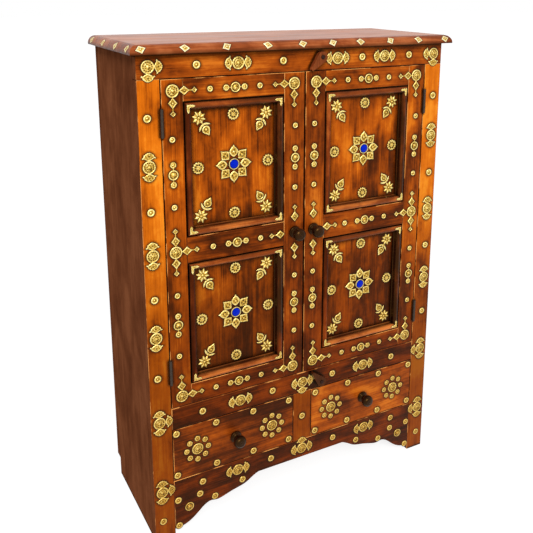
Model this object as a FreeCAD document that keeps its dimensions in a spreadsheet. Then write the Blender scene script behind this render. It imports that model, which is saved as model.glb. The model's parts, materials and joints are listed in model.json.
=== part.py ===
import FreeCAD, Part
import math
import operator
import os
from types import SimpleNamespace

import Sketcher
from FreeCAD import Matrix, Placement, Rotation, Vector

# Brass-mounted wooden cabinet with two doors over two drawers.
# Millimetres, +Z up, the front faces -Y, +X to the right.
# The origin is on the floor, at the middle of the whole cabinet's width and depth.

SIZES = {
    # Carcass
    "cabinet_height": 1200,
    "carcass_width": 814,
    "carcass_depth": 320,
    "side_thickness": 18,
    "back_thickness": 9,
    "skirting_height": 50,
    "skirting_depth": 25,
    "top_thickness": 20.5,
    "top_overhang_side": 17,
    "top_overhang_front": 21,
    "nosing_radius": 18.5,
    # Face frame
    "frame_thickness": 24,
    "stile_width": 51,
    "top_rail_height": 53.5,
    "middle_rail_height": 56,
    "drawer_opening_height": 140,
    "bottom_rail_top": 150,
    "divider_width": 52,
    "apron_crown": 98,
    # Inside of the carcass
    "floor_thickness": 16,
    "shelf_thickness": 16,
    "shelf_height": 735,
    "shelf_setback": 60,
    "cleat_width": 15,
    "cleat_height": 20,
    "stop_thickness": 12,
    "stop_lap": 10,
    "stop_hold": 20,
    "partition_thickness": 18,
    "runner_height": 22,
    "runner_bearing": 18,
    "guide_height": 24,
    # Doors
    "door_thickness": 22,
    "door_gap": 1.5,
    "hinge_gap": 2,
    "meeting_gap": 4,
    "door_stile_width": 49,
    "meeting_stile_width": 54,
    "door_top_rail_height": 50,
    "door_middle_rail_height": 62,
    "door_bottom_rail_height": 51,
    "panel_height_difference": 6,
    "panel_recess": 14,
    "panel_thickness": 5,
    "groove_depth": 6,
    "moulding_width": 21,
    "moulding_rise": 3,
    "moulding_quirk": 1.6,
    # Butt hinges
    "hinge_length": 63,
    "hinge_inset": 94,
    "leaf_thickness": 1.5,
    "leaf_width": 18,
    "knuckle_radius": 3.3,
    "knuckle_standoff": 3.8,
    "knuckle_gap": 0.3,
    "hinge_pin_radius": 1.6,
    "running_clearance": 0.05,
    "screw_radius": 1.4,
    "screw_head_radius": 2.7,
    "screw_length": 14,
    "screw_pitch": 22,
    # Turn-buttons
    "button_radius": 13,
    "button_tip_radius": 3.5,
    "button_reach": 38,
    "button_thickness": 12,
    "button_spacer": 3.5,
    "button_spacer_radius": 8,
    "pivot_radius": 2,
    "pivot_head_radius": 4.5,
    "pivot_head_height": 2,
    "button_play": 0.2,
    "pivot_hold": 14,
    "top_button_across": 38,
    "top_button_rise": 32,
    "top_button_angle": 226,
    "lower_button_across": 50,
    "lower_button_drop": 33.5,
    "lower_button_angle": 130,
    # Drawers
    "drawer_gap": 1.5,
    "drawer_seat_gap": 0.3,
    "drawer_front_thickness": 20,
    "drawer_wall_thickness": 12,
    "drawer_wall_height": 110,
    "drawer_back_space": 41,
    "drawer_bottom_thickness": 5,
    "drawer_bottom_rise": 8,
    "drawer_groove_depth": 5,
    # Turned knobs
    "knob_reach": 36,
    "knob_flange_radius": 13.5,
    "knob_flange_height": 4,
    "knob_neck_radius": 7.5,
    "knob_head_radius": 16,
    "knob_tenon_radius": 5,
    "knob_tenon_length": 12,
    # Stamped brass
    "brass_thickness": 1.2,
    "disc_radius": 14.5,
    "disc_boss_radius": 4,
    "disc_boss_rise": 2,
    "wing_half_span": 15.6,
    "wing_reach": 32.5,
    "diamond_reach": 11.5,
    "diamond_step": 26.5,
    "tip_reach": 6.5,
    "tip_step": 50,
    "knob_arm_shift": 13.5,
    "neck_width": 2.4,
    "dome_radius": 11.5,
    "dome_rise": 4,
    "bead_radius": 7.3,
    "bead_rise": 1.5,
    "bead_step": 22.5,
    "door_stud_radius": 6.5,
    "frame_stud_radius": 8.5,
    "stud_rise": 1.6,
    "cluster_ring_radius": 28,
    "corner_inset": 25.5,
    "column_inset": 22,
    "meeting_corner_inset": 28,
    "meeting_column_inset": 24.5,
    "frame_column_inset": 21,
    "frame_corner_inset": 26,
    "rosette_radius": 14,
    "flower_reach": 45.5,
    "flower_collar_radius": 13,
    "flower_collar_rise": 2,
    "cabochon_radius": 11.6,
    "cabochon_rise": 4.4,
    "star_radius": 16.5,
    "star_rise": 2.5,
    "sprig_gap": 3.5,
    "bud_reach": 52,
    "bracket_length": 20,
    "bracket_width": 6.5,
    "bracket_inset": 7,
    "nosing_diamond_half_length": 15,
    "nosing_diamond_reach": 11.4,
    "nosing_diamond_lean": 32,
}

HINGE_KNUCKLES = 5
BACK_BOARDS = 5
CLUSTER_BEADS = 8
PETALS = 8

doc = FreeCAD.newDocument("cabinet")
sheet = doc.addObject("Spreadsheet::Sheet", "Sizes")
for row, (alias, number) in enumerate(SIZES.items(), start=1):
    sheet.set(f"A{row}", alias)
    sheet.set(f"B{row}", str(number))
    sheet.setAlias(f"B{row}", alias)
doc.recompute()

SIGNS = {"+": operator.add, "-": operator.sub, "*": operator.mul, "/": operator.truediv}


class Size:
    """A length as a number and as the text that binds a property to the sheet."""

    def __init__(self, number, text):
        self.number = number
        self.text = text

    def join(self, sign, other, turned=False):
        left, right = (as_size(other), self) if turned else (self, as_size(other))
        number = SIGNS[sign](left.number, right.number)
        return Size(number, f"({left.text} {sign} {right.text})")

    def __add__(self, other):
        return self.join("+", other)

    def __radd__(self, other):
        return self.join("+", other, turned=True)

    def __sub__(self, other):
        return self.join("-", other)

    def __rsub__(self, other):
        return self.join("-", other, turned=True)

    def __mul__(self, other):
        return self.join("*", other)

    def __rmul__(self, other):
        return self.join("*", other, turned=True)

    def __truediv__(self, other):
        return self.join("/", other)

    def __neg__(self):
        return self.join("-", 0, turned=True)


def as_size(thing):
    return thing if isinstance(thing, Size) else Size(thing, str(thing))


# Each size of the sheet, for bindings in size and as a bare number in mm
size = SimpleNamespace(**{name: Size(float(sheet.get(name)), f"Sizes.{name}") for name in SIZES})
mm = SimpleNamespace(**{name: float(sheet.get(name)) for name in SIZES})

# Planes that the pieces share, worked out from the sizes
half_width = size.carcass_width / 2
inner_half = half_width - size.side_thickness
opening_half = half_width - size.stile_width
divider_half = size.divider_width / 2
front = (size.knob_reach - size.carcass_depth) / 2
frame_back = front + size.frame_thickness
back = front + size.carcass_depth
back_inside = back - size.back_thickness
top_under = size.cabinet_height - size.top_thickness
door_opening_top = top_under - size.top_rail_height
drawer_opening_top = size.bottom_rail_top + size.drawer_opening_height
door_opening_bottom = drawer_opening_top + size.middle_rail_height
floor_under = door_opening_bottom - size.floor_thickness
door_outer = opening_half - size.hinge_gap
door_inner = size.meeting_gap / 2
door_low = door_opening_bottom + size.door_gap
door_high = door_opening_top - size.door_gap
panel_outer = door_outer - size.door_stile_width
panel_inner = door_inner + size.meeting_stile_width
panel_middle = (panel_outer + panel_inner) / 2
lower_panel_low = door_low + size.door_bottom_rail_height
panels_height = (door_high - size.door_top_rail_height - size.door_middle_rail_height
                 - lower_panel_low)
lower_panel_high = lower_panel_low + (panels_height - size.panel_height_difference) / 2
upper_panel_low = lower_panel_high + size.door_middle_rail_height
upper_panel_high = door_high - size.door_top_rail_height
door_middle = (lower_panel_high + upper_panel_low) / 2
hinge_axis_across = opening_half - size.hinge_gap / 2
hinge_axis_y = front - size.knuckle_standoff
drawer_low = size.bottom_rail_top + size.drawer_gap
drawer_high = drawer_opening_top - size.drawer_gap
drawer_inner = divider_half + size.drawer_gap
drawer_outer = opening_half - size.drawer_gap
drawer_middle = (drawer_inner + drawer_outer) / 2
drawer_face_middle = (drawer_low + drawer_high) / 2
runner_top = drawer_low - size.drawer_seat_gap
runner_low = runner_top - size.runner_height
partition_half = size.partition_thickness / 2

# How far a cutter runs past the piece that it cuts
overrun = size.side_thickness

LEFT = -1
RIGHT = 1
SIDE_NAMES = {LEFT: "left", RIGHT: "right"}
TO_FRONT = Rotation(Vector(1, 0, 0), 90)

nodes = {}


def keep(label, thing):
    """Names a finished sub-part, which becomes a node of its own."""
    thing.Label = label
    nodes[label] = thing
    return thing


def across(side, near, far):
    """The low and high X of a span that lies near..far from the middle, on one side."""
    return (-far, -near) if side == LEFT else (near, far)


def board(name, x_span, y_span, z_span):
    """A rectangular board between bound planes."""
    solid = doc.addObject("Part::Box", name)
    for axis, edge, span in zip("xyz", ("Length", "Width", "Height"), (x_span, y_span, z_span)):
        low, high = as_size(span[0]), as_size(span[1])
        solid.setExpression(edge, (high - low).text)
        solid.setExpression(f"Placement.Base.{axis}", low.text)
    return solid


def group(name, things):
    """Several separate pieces of one kind in one object."""
    compound = doc.addObject("Part::Compound", name)
    compound.Links = list(things)
    return compound


def cut(name, base, tools):
    """A piece with the shapes of others taken out of it."""
    result = doc.addObject("Part::Cut", name)
    result.Base = base
    result.Tool = tools[0] if len(tools) == 1 else group(f"{name}_tools", tools)
    return result


def formed(name, shape, place=None):
    """A piece whose shape no primitive gives."""
    thing = doc.addObject("Part::Feature", name)
    thing.Shape = shape
    thing.Placement = place if place else Placement()
    return thing


def at_face(y_plane):
    """The placement of a group drawn flat, X across and Y up, on a plane that faces the front."""
    return Placement(Vector(0, y_plane.number, 0), TO_FRONT)


def symmetric(span):
    return (-span, span)


# Shapes drawn flat, which rise along +Z


def prism(points, height):
    corners = [Vector(x, y, 0) for x, y in points]
    outline = Part.makePolygon(corners + corners[:1])
    return Part.Face(outline).extrude(Vector(0, 0, height))


def crowned(low, crown):
    """An arc from a low point up to a crown, level at the crown."""
    run, rise = low.x - crown.x, crown.z - low.z
    radius = (run ** 2 + rise ** 2) / (2 * rise)
    tilt = math.atan2(run, radius - rise) / 2
    halfway = Vector(crown.x + radius * math.sin(tilt), 0, crown.z - radius * (1 - math.cos(tilt)))
    return Part.Arc(low, halfway, crown).toShape()


def turned(radius, rim, boss_radius, rise):
    """A round plate with a rounded boss in its middle."""
    edge = [Vector(0, 0, 0), Vector(radius, 0, 0), Vector(radius, 0, rim), Vector(boss_radius, 0, rim)]
    if radius == boss_radius:
        edge.pop()
    crown = Vector(0, 0, rim + rise)
    lines = [Part.makeLine(a, b) for a, b in zip(edge, edge[1:])]
    outline = Part.Wire(lines + [crowned(edge[-1], crown), Part.makeLine(crown, edge[0])])
    return Part.Face(outline).revolve(Vector(0, 0, 0), Vector(0, 0, 1), 360)


def merged(shapes):
    return shapes[0].fuse(shapes[1:]).removeSplitter() if len(shapes) > 1 else shapes[0]


def moved(shape, x, y, angle=0):
    """A copy turned about +Z by angle degrees, then shifted."""
    copy = shape.copy()
    copy.Placement = Placement(Vector(x, y, 0), Rotation(Vector(0, 0, 1), angle)) * copy.Placement
    return copy


def neck(start, end):
    """A thin strip along +Y that links two parts of one stamping."""
    half = mm.neck_width / 2
    return prism([(-half, start), (half, start), (half, end), (-half, end)], mm.brass_thickness)


# Sides, back, top and the parts inside


def side_panel(side):
    name = f"side_panel_{SIDE_NAMES[side]}"
    x_span = across(side, inner_half, half_width)
    blank = board(f"{name}_blank", x_span, (frame_back, back), (0, top_under))
    notch_x = across(side, inner_half - overrun, half_width + overrun)
    notch_y = (back - size.skirting_depth, back + overrun)
    notch = board(f"{name}_notch", notch_x, notch_y, (-overrun, size.skirting_height))
    keep(name, cut(name, blank, [notch]))


def back_boards():
    width = 2 * inner_half / BACK_BOARDS
    boards = []
    for count in range(BACK_BOARDS):
        low = -inner_half + count * width
        boards.append(board(f"back_board_{count}", (low, low + width), (back_inside, back),
                            (size.skirting_height, top_under)))
    keep("back_boards", group("back_boards", boards))


def rectangle_sketch(body, name, length, width):
    """A bound rectangle from the body's origin, on its XY plane."""
    sketch = body.newObject("Sketcher::SketchObject", name)
    plane = [item for item in body.Origin.OriginFeatures if item.Role == "XY_Plane"][0]
    sketch.AttachmentSupport = (plane, "")
    sketch.MapMode = "FlatFace"
    corners = [Vector(0, 0, 0), Vector(length.number, 0, 0),
               Vector(length.number, width.number, 0), Vector(0, width.number, 0)]
    for count, corner in enumerate(corners):
        sketch.addGeometry(Part.LineSegment(corner, corners[(count + 1) % len(corners)]))
    for count in range(len(corners)):
        sketch.addConstraint(Sketcher.Constraint("Coincident", count, 2, (count + 1) % len(corners), 1))
    sketch.addConstraint(Sketcher.Constraint("Coincident", 0, 1, -1, 1))
    sketch.addConstraint(Sketcher.Constraint("Horizontal", 0))
    sketch.addConstraint(Sketcher.Constraint("Vertical", 1))
    sketch.addConstraint(Sketcher.Constraint("Horizontal", 2))
    sketch.addConstraint(Sketcher.Constraint("Vertical", 3))
    for kind, line, bound in (("DistanceX", 0, length), ("DistanceY", 1, width)):
        index = sketch.addConstraint(Sketcher.Constraint(kind, line, 1, line, 2, bound.number))
        sketch.setExpression(f"Constraints[{index}]", bound.text)
    return sketch


def top_board():
    """The top, whose front and side edges are quarter-round over a small square lip."""
    body = doc.addObject("PartDesign::Body", "top_board")
    length = size.carcass_width + 2 * size.top_overhang_side
    width = size.carcass_depth + size.top_overhang_front
    pad = body.newObject("PartDesign::Pad", "top_board_pad")
    pad.Profile = rectangle_sketch(body, "top_board_outline", length, width)
    pad.setExpression("Length", size.top_thickness.text)
    doc.recompute()
    edges = []
    for count, edge in enumerate(pad.Shape.Edges, start=1):
        middle = edge.CenterOfMass
        on_top = abs(middle.z - pad.Shape.BoundBox.ZMax) < Part.Precision.confusion()
        at_back = abs(middle.y - pad.Shape.BoundBox.YMax) < Part.Precision.confusion()
        if on_top and not at_back:
            edges.append(f"Edge{count}")
    nosing = body.newObject("PartDesign::Fillet", "top_board_nosing")
    nosing.Base = (pad, edges)
    nosing.setExpression("Radius", size.nosing_radius.text)
    body.Tip = nosing
    body.setExpression("Placement.Base.x", (-length / 2).text)
    body.setExpression("Placement.Base.y", (front - size.top_overhang_front).text)
    body.setExpression("Placement.Base.z", top_under.text)
    keep("top_board", body)


def inside_boards():
    floor_z = (floor_under, door_opening_bottom)
    keep("cupboard_floor", board("cupboard_floor", symmetric(inner_half), (frame_back, back_inside), floor_z))
    shelf_y = (frame_back + size.shelf_setback, back_inside)
    shelf_low = size.shelf_height - size.shelf_thickness
    keep("cupboard_shelf", board("cupboard_shelf", symmetric(inner_half), shelf_y,
                                 (shelf_low, size.shelf_height)))
    cleats = []
    for side in (LEFT, RIGHT):
        cleat_x = across(side, inner_half - size.cleat_width, inner_half)
        cleats.append(board(f"cleat_{SIDE_NAMES[side]}", cleat_x, shelf_y,
                            (shelf_low - size.cleat_height, shelf_low)))
    keep("shelf_cleats", group("shelf_cleats", cleats))
    stop_y = (frame_back, frame_back + size.stop_thickness)
    stops = [
        board("stop_top", symmetric(opening_half), stop_y,
              (door_opening_top - size.stop_lap, door_opening_top + size.stop_hold)),
        board("stop_low", symmetric(opening_half), stop_y,
              (door_opening_bottom, door_opening_bottom + size.stop_lap)),
    ]
    keep("door_stops", group("door_stops", stops))
    keep("drawer_partition", board("drawer_partition", symmetric(partition_half),
                                   (frame_back, back_inside), (runner_low, floor_under)))


def drawer_runners():
    """Strips that carry each drawer's walls, and guides on them that keep it straight."""
    strips = []
    wall_outside = drawer_outer - size.runner_bearing
    wall_inside = drawer_inner + size.runner_bearing
    for side in (LEFT, RIGHT):
        tag = SIDE_NAMES[side]
        for place, near, far, guide_near, guide_far in (
            ("outer", wall_outside, inner_half, opening_half, inner_half),
            ("inner", partition_half, wall_inside, partition_half, divider_half),
        ):
            strips.append(board(f"runner_{place}_{tag}", across(side, near, far),
                                (frame_back, back_inside), (runner_low, runner_top)))
            strips.append(board(f"guide_{place}_{tag}", across(side, guide_near, guide_far),
                                (frame_back, back_inside), (runner_top, runner_top + size.guide_height)))
    keep("drawer_runners", group("drawer_runners", strips))


# Face frame

# The apron's lower edge from a stile to the flat crown: across as a share of half the
# opening's width, and up as a share of the crown's height
APRON_SHARES = (
    (1.0, 0.173), (0.938, 0.199), (0.882, 0.286), (0.817, 0.469), (0.767, 0.6), (0.73, 0.633),
    (0.694, 0.607), (0.64, 0.633), (0.55, 0.724), (0.461, 0.806), (0.413, 0.908), (0.36, 1.0),
)


def bottom_rail():
    """The rail under the drawers, with its shaped apron."""
    reach, crown, rail_top = opening_half.number, mm.apron_crown, mm.bottom_rail_top
    curve = {}
    for side in (LEFT, RIGHT):
        points = [Vector(side * reach * x, 0, crown * z) for x, z in APRON_SHARES]
        curve[side] = points
    edges = []
    for side in (LEFT, RIGHT):
        spline = Part.BSplineCurve()
        spline.interpolate(curve[side])
        edges.append(spline.toShape())
    corner = {side: Vector(side * reach, 0, rail_top) for side in (LEFT, RIGHT)}
    edges.append(Part.makeLine(curve[LEFT][-1], curve[RIGHT][-1]))
    edges.append(Part.makeLine(curve[RIGHT][0], corner[RIGHT]))
    edges.append(Part.makeLine(corner[RIGHT], corner[LEFT]))
    edges.append(Part.makeLine(corner[LEFT], curve[LEFT][0]))
    outline = formed("bottom_rail_outline", Part.Face(Part.Wire(Part.__sortEdges__(edges))))
    rail = doc.addObject("Part::Extrusion", "face_rail_bottom")
    rail.Base = outline
    rail.Dir = Vector(0, 1, 0)
    rail.DirMode = "Custom"
    rail.Solid = True
    rail.setExpression("LengthFwd", size.frame_thickness.text)
    rail.setExpression("Placement.Base.y", front.text)
    keep("face_rail_bottom", rail)


def face_frame(hardware):
    frame_y = (front, frame_back)
    for side in (LEFT, RIGHT):
        name = f"face_stile_{SIDE_NAMES[side]}"
        blank = board(f"{name}_blank", across(side, opening_half, half_width), frame_y,
                      (0, door_opening_top))
        keep(name, cut(name, blank, [hardware.frame_leaves, hardware.frame_screws]))
    top = board("face_rail_top_blank", symmetric(half_width), frame_y, (door_opening_top, top_under))
    keep("face_rail_top", cut("face_rail_top", top, [hardware.frame_screws]))
    middle = board("face_rail_middle_blank", symmetric(opening_half), frame_y,
                   (drawer_opening_top, door_opening_bottom))
    keep("face_rail_middle", cut("face_rail_middle", middle, [hardware.frame_screws]))
    keep("drawer_divider", board("drawer_divider", symmetric(divider_half), frame_y,
                                 (size.bottom_rail_top, drawer_opening_top)))
    bottom_rail()


# Hinges and the pivot screws of the turn-buttons


def barrel(low, high, bore):
    """One knuckle about the hinge's axis."""
    outside = Part.makeCylinder(mm.knuckle_radius, high - low, Vector(0, 0, low))
    return outside.cut(Part.makeCylinder(bore, high - low, Vector(0, 0, low)))


def hinge_leaf(turn, own, bore):
    """A leaf for the edge at turn times half the gap, with the knuckles numbered in own."""
    half_gap = mm.hinge_gap / 2
    inner, outer = sorted((turn * half_gap, turn * (half_gap + mm.leaf_thickness)))
    thickness = outer - inner
    face = mm.knuckle_standoff
    pieces = [Part.makeBox(thickness, mm.leaf_width, mm.hinge_length, Vector(inner, face, 0))]
    pitch = mm.hinge_length / HINGE_KNUCKLES
    for number in own:
        low = number * pitch + mm.knuckle_gap / 2
        high = (number + 1) * pitch - mm.knuckle_gap / 2
        web = Part.makeBox(thickness, face, high - low, Vector(inner, 0, low))
        hole = Part.makeCylinder(bore, high - low, Vector(0, 0, low))
        pieces.append(web.cut(hole))
        pieces.append(barrel(low, high, bore))
    return merged(pieces)


def hinge_screws(turn):
    """Three countersunk screws that go through a leaf into the wood behind it."""
    direction = Vector(turn, 0, 0)
    middle_y = mm.knuckle_standoff + mm.leaf_width / 2
    screws = []
    for step in (-1, 0, 1):
        start = Vector(turn * mm.hinge_gap / 2, middle_y, mm.hinge_length / 2 + step * mm.screw_pitch)
        head = Part.makeCone(mm.screw_head_radius, mm.screw_radius, mm.leaf_thickness, start, direction)
        shank_start = start + direction * mm.leaf_thickness
        shank = Part.makeCylinder(mm.screw_radius, mm.screw_length, shank_start, direction)
        screws.append(head.fuse(shank).removeSplitter())
    return screws


def shifted(shapes, offset):
    copies = [shape.copy() for shape in shapes]
    for copy in copies:
        copy.translate(offset)
    return copies


def hinge_hardware():
    """Fixed and moving leaves, pins and screws of the four hinges, and the pivot screws."""
    knuckles = range(HINGE_KNUCKLES)
    fixed = [number for number in knuckles if number % 2 == 0]
    moving = [number for number in knuckles if number % 2 == 1]
    found = SimpleNamespace(leaves=[], pins=[], screws=[], door_leaves={}, door_screws={})
    for side in (LEFT, RIGHT):
        found.door_leaves[side] = []
        found.door_screws[side] = []
        for middle in (door_low + size.hinge_inset, door_high - size.hinge_inset):
            corner = Vector(side * hinge_axis_across.number, hinge_axis_y.number,
                            middle.number - mm.hinge_length / 2)
            screws = shifted(hinge_screws(side), corner)
            leaf = shifted([hinge_leaf(side, fixed, mm.hinge_pin_radius)], corner)[0]
            found.leaves.append(leaf.cut(Part.Compound(screws)))
            found.screws.extend(screws)
            door_screws = shifted(hinge_screws(-side), corner)
            loose_bore = mm.hinge_pin_radius + mm.running_clearance
            door_leaf = shifted([hinge_leaf(-side, moving, loose_bore)], corner)[0]
            found.door_leaves[side].append(door_leaf.cut(Part.Compound(door_screws)))
            found.door_screws[side].extend(door_screws)
            found.pins.append(Part.makeCylinder(mm.hinge_pin_radius, mm.hinge_length, corner))
    return found


def pivot_screw(x, z):
    """The round-headed screw that a turn-button turns on."""
    head_low = front.number - mm.button_spacer - mm.button_thickness - 2 * mm.button_play
    outward = Vector(0, -1, 0)
    length = front.number + mm.pivot_hold - head_low
    shank = Part.makeCylinder(mm.pivot_radius, length, Vector(x, head_low, z), -outward)
    head = turned(mm.pivot_head_radius, mm.pivot_head_height / 2, mm.pivot_head_radius,
                  mm.pivot_head_height / 2)
    head.Placement = Placement(Vector(x, head_low, z), TO_FRONT)
    return shank.fuse(head)


def hardware_nodes():
    parts = hinge_hardware()
    screws = parts.screws + [pivot_screw(x.number, z.number) for x, z, _ in BUTTONS.values()]
    hardware = SimpleNamespace()
    hardware.frame_leaves = keep("hinge_leaves_fixed", formed("hinge_leaves_fixed",
                                                              Part.Compound(parts.leaves)))
    hardware.frame_screws = keep("frame_screws", formed("frame_screws", Part.Compound(screws)))
    keep("hinge_pins", formed("hinge_pins", Part.Compound(parts.pins)))
    hardware.door_leaves, hardware.door_screws = {}, {}
    for side, tag in SIDE_NAMES.items():
        leaves = formed(f"door_{tag}_hinge_leaves", Part.Compound(parts.door_leaves[side]))
        hardware.door_leaves[side] = keep(f"door_{tag}_hinge_leaves", leaves)
        door_screws = formed(f"door_{tag}_hinge_screws", Part.Compound(parts.door_screws[side]))
        hardware.door_screws[side] = keep(f"door_{tag}_hinge_screws", door_screws)
    return hardware


# Turn-buttons: where the pivot is, and which way the tail points

BUTTONS = {
    "turn_button_top": (size.top_button_across, door_opening_top + size.top_button_rise,
                        size.top_button_angle),
    "turn_button_lower": (size.lower_button_across, door_opening_bottom - size.lower_button_drop,
                          size.lower_button_angle),
}


def round_sketch(body, name, bounds):
    """Concentric bound circles about the body's origin, on its XY plane."""
    sketch = body.newObject("Sketcher::SketchObject", name)
    plane = [item for item in body.Origin.OriginFeatures if item.Role == "XY_Plane"][0]
    sketch.AttachmentSupport = (plane, "")
    sketch.MapMode = "FlatFace"
    for count, bound in enumerate(bounds):
        sketch.addGeometry(Part.Circle(Vector(0, 0, 0), Vector(0, 0, 1), bound.number))
        sketch.addConstraint(Sketcher.Constraint("Coincident", count, 3, -1, 1))
        index = sketch.addConstraint(Sketcher.Constraint("Radius", count, bound.number))
        sketch.setExpression(f"Constraints[{index}]", bound.text)
    return sketch


def teardrop_sketch(body, name, bore):
    """A round end about the body's origin that runs to a narrow round tip along +X."""
    sketch = body.newObject("Sketcher::SketchObject", name)
    plane = [item for item in body.Origin.OriginFeatures if item.Role == "XY_Plane"][0]
    sketch.AttachmentSupport = (plane, "")
    sketch.MapMode = "FlatFace"
    lean = math.acos((mm.button_radius - mm.button_tip_radius) / mm.button_reach)
    ends = {}
    for key, centre, radius in (("round", 0, mm.button_radius), ("tip", mm.button_reach, mm.button_tip_radius)):
        upper = Vector(centre + radius * math.cos(lean), radius * math.sin(lean), 0)
        ends[key] = (upper, Vector(upper.x, -upper.y, 0))
    up = Vector(0, 0, 1)
    round_circle = Part.Circle(Vector(0, 0, 0), up, mm.button_radius)
    tip_circle = Part.Circle(Vector(mm.button_reach, 0, 0), up, mm.button_tip_radius)
    sketch.addGeometry(Part.ArcOfCircle(round_circle, lean, 2 * math.pi - lean))
    sketch.addGeometry(Part.LineSegment(ends["round"][1], ends["tip"][1]))
    sketch.addGeometry(Part.ArcOfCircle(tip_circle, -lean, lean))
    sketch.addGeometry(Part.LineSegment(ends["tip"][0], ends["round"][0]))
    sketch.addGeometry(Part.Circle(Vector(0, 0, 0), up, bore.number))
    for first, first_end, second, second_end in ((0, 2, 1, 1), (1, 2, 2, 1), (2, 2, 3, 1), (3, 2, 0, 1)):
        sketch.addConstraint(Sketcher.Constraint("Tangent", first, first_end, second, second_end))
    sketch.addConstraint(Sketcher.Constraint("Coincident", 0, 3, -1, 1))
    sketch.addConstraint(Sketcher.Constraint("Coincident", 4, 3, -1, 1))
    sketch.addConstraint(Sketcher.Constraint("PointOnObject", 2, 3, -1))
    reach = sketch.addConstraint(Sketcher.Constraint("DistanceX", -1, 1, 2, 3, mm.button_reach))
    sketch.setExpression(f"Constraints[{reach}]", size.button_reach.text)
    for curve, bound in ((0, size.button_radius), (2, size.button_tip_radius), (4, bore)):
        index = sketch.addConstraint(Sketcher.Constraint("Radius", curve, bound.number))
        sketch.setExpression(f"Constraints[{index}]", bound.text)
    return sketch


def turn_button(name, x, z, angle):
    """A teardrop of wood that stands off the rail on a round pad and turns on its screw."""
    bore = size.pivot_radius + size.running_clearance
    body = doc.addObject("PartDesign::Body", name)
    leaf = body.newObject("PartDesign::Pad", f"{name}_leaf")
    leaf.Profile = teardrop_sketch(body, f"{name}_outline", bore)
    leaf.setExpression("Length", size.button_thickness.text)
    pad = body.newObject("PartDesign::Pad", f"{name}_pad")
    pad.Profile = round_sketch(body, f"{name}_pad_outline", (size.button_spacer_radius, bore))
    pad.Reversed = True
    pad.setExpression("Length", size.button_spacer.text)
    body.Tip = pad
    body.Placement = Placement(Vector(0, 0, 0), TO_FRONT * Rotation(Vector(0, 0, 1), angle.number))
    body.setExpression("Placement.Base.x", x.text)
    body.setExpression("Placement.Base.y", (front - size.button_spacer - size.button_play).text)
    body.setExpression("Placement.Base.z", z.text)
    keep(name, body)


# Knobs

# The turned outline from the flange to the head's crown: radius as a share of the part of
# the knob that it shapes, and reach as a share of the knob's reach
KNOB_NECK_SHARE = 0.3
KNOB_SHOULDER_SHARE = 0.42
KNOB_EQUATOR_SHARE = 0.68


def knob_shape():
    """A knob with its tenon, which stands along +Z."""
    reach = mm.knob_reach
    flange = [Vector(mm.knob_flange_radius, 0, 0),
              Vector(mm.knob_flange_radius, 0, mm.knob_flange_height / 2)]
    neck_height = reach * KNOB_NECK_SHARE
    shoulder_height = reach * KNOB_SHOULDER_SHARE
    equator = reach * KNOB_EQUATOR_SHARE
    shoulder = (mm.knob_neck_radius + mm.knob_head_radius) / 2
    turn = Part.BSplineCurve()
    turn.interpolate([flange[1],
                      Vector((mm.knob_flange_radius + mm.knob_neck_radius) / 2, 0, mm.knob_flange_height),
                      Vector(mm.knob_neck_radius, 0, neck_height),
                      Vector(shoulder, 0, shoulder_height),
                      Vector(mm.knob_head_radius, 0, equator)],
                     InitialTangent=Vector(0, 0, 1), FinalTangent=Vector(0, 0, 1))
    crown_radius = mm.knob_head_radius * math.cos(math.pi / 4)
    crown_height = equator + (reach - equator) * math.sin(math.pi / 4)
    crown = Part.BSplineCurve()
    crown.interpolate([Vector(mm.knob_head_radius, 0, equator), Vector(crown_radius, 0, crown_height),
                       Vector(0, 0, reach)], InitialTangent=Vector(0, 0, 1), FinalTangent=Vector(-1, 0, 0))
    tenon = [Vector(0, 0, -mm.knob_tenon_length), Vector(mm.knob_tenon_radius, 0, -mm.knob_tenon_length),
             Vector(mm.knob_tenon_radius, 0, 0)]
    line_points = [Vector(0, 0, reach)] + tenon + flange
    lines = [Part.makeLine(a, b) for a, b in zip(line_points, line_points[1:])]
    outline = Part.Wire(lines + [turn.toShape(), crown.toShape()])
    return Part.Face(outline).revolve(Vector(0, 0, 0), Vector(0, 0, 1), 360)


def knob(name, x, z):
    thing = formed(name, knob_shape(), Placement(Vector(0, 0, 0), TO_FRONT))
    thing.setExpression("Placement.Base.x", x.text)
    thing.setExpression("Placement.Base.y", front.text)
    thing.setExpression("Placement.Base.z", z.text)
    return keep(name, thing)


# Doors

# The moulding's outline: in from the frame's edge as a share of its width, and out from the
# panel as a share of its whole height
MOULDING_SHARES = ((0.0, 0.0), (0.0, 0.55), (0.1, 0.55), (0.1, 0.72), (0.48, 1.0), (0.86, 0.6), (1.0, 0.2),
                   (1.0, 0.0))
MOULDING_HOLLOW_SHARES = (0.89, 0.3)


def moulding_profile():
    """The section as a face: X in from the frame's edge, Z out from the panel's face."""
    deep = mm.panel_recess + mm.moulding_rise

    def place(shares):
        return Vector(shares[0] * mm.moulding_width, 0, shares[1] * deep)

    foot, step, quirk, spring, crown, hollow, lip, end = [place(shares) for shares in MOULDING_SHARES]
    edges = [
        Part.makeLine(foot, step),
        Part.makeLine(step, quirk),
        Part.makeLine(quirk, spring),
        crowned(spring, crown),
        crowned(hollow, crown),
        Part.Arc(hollow, place(MOULDING_HOLLOW_SHARES), lip).toShape(),
        Part.makeLine(lip, end),
        Part.makeLine(end, foot),
    ]
    return Part.Face(Part.Wire(edges))


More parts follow.
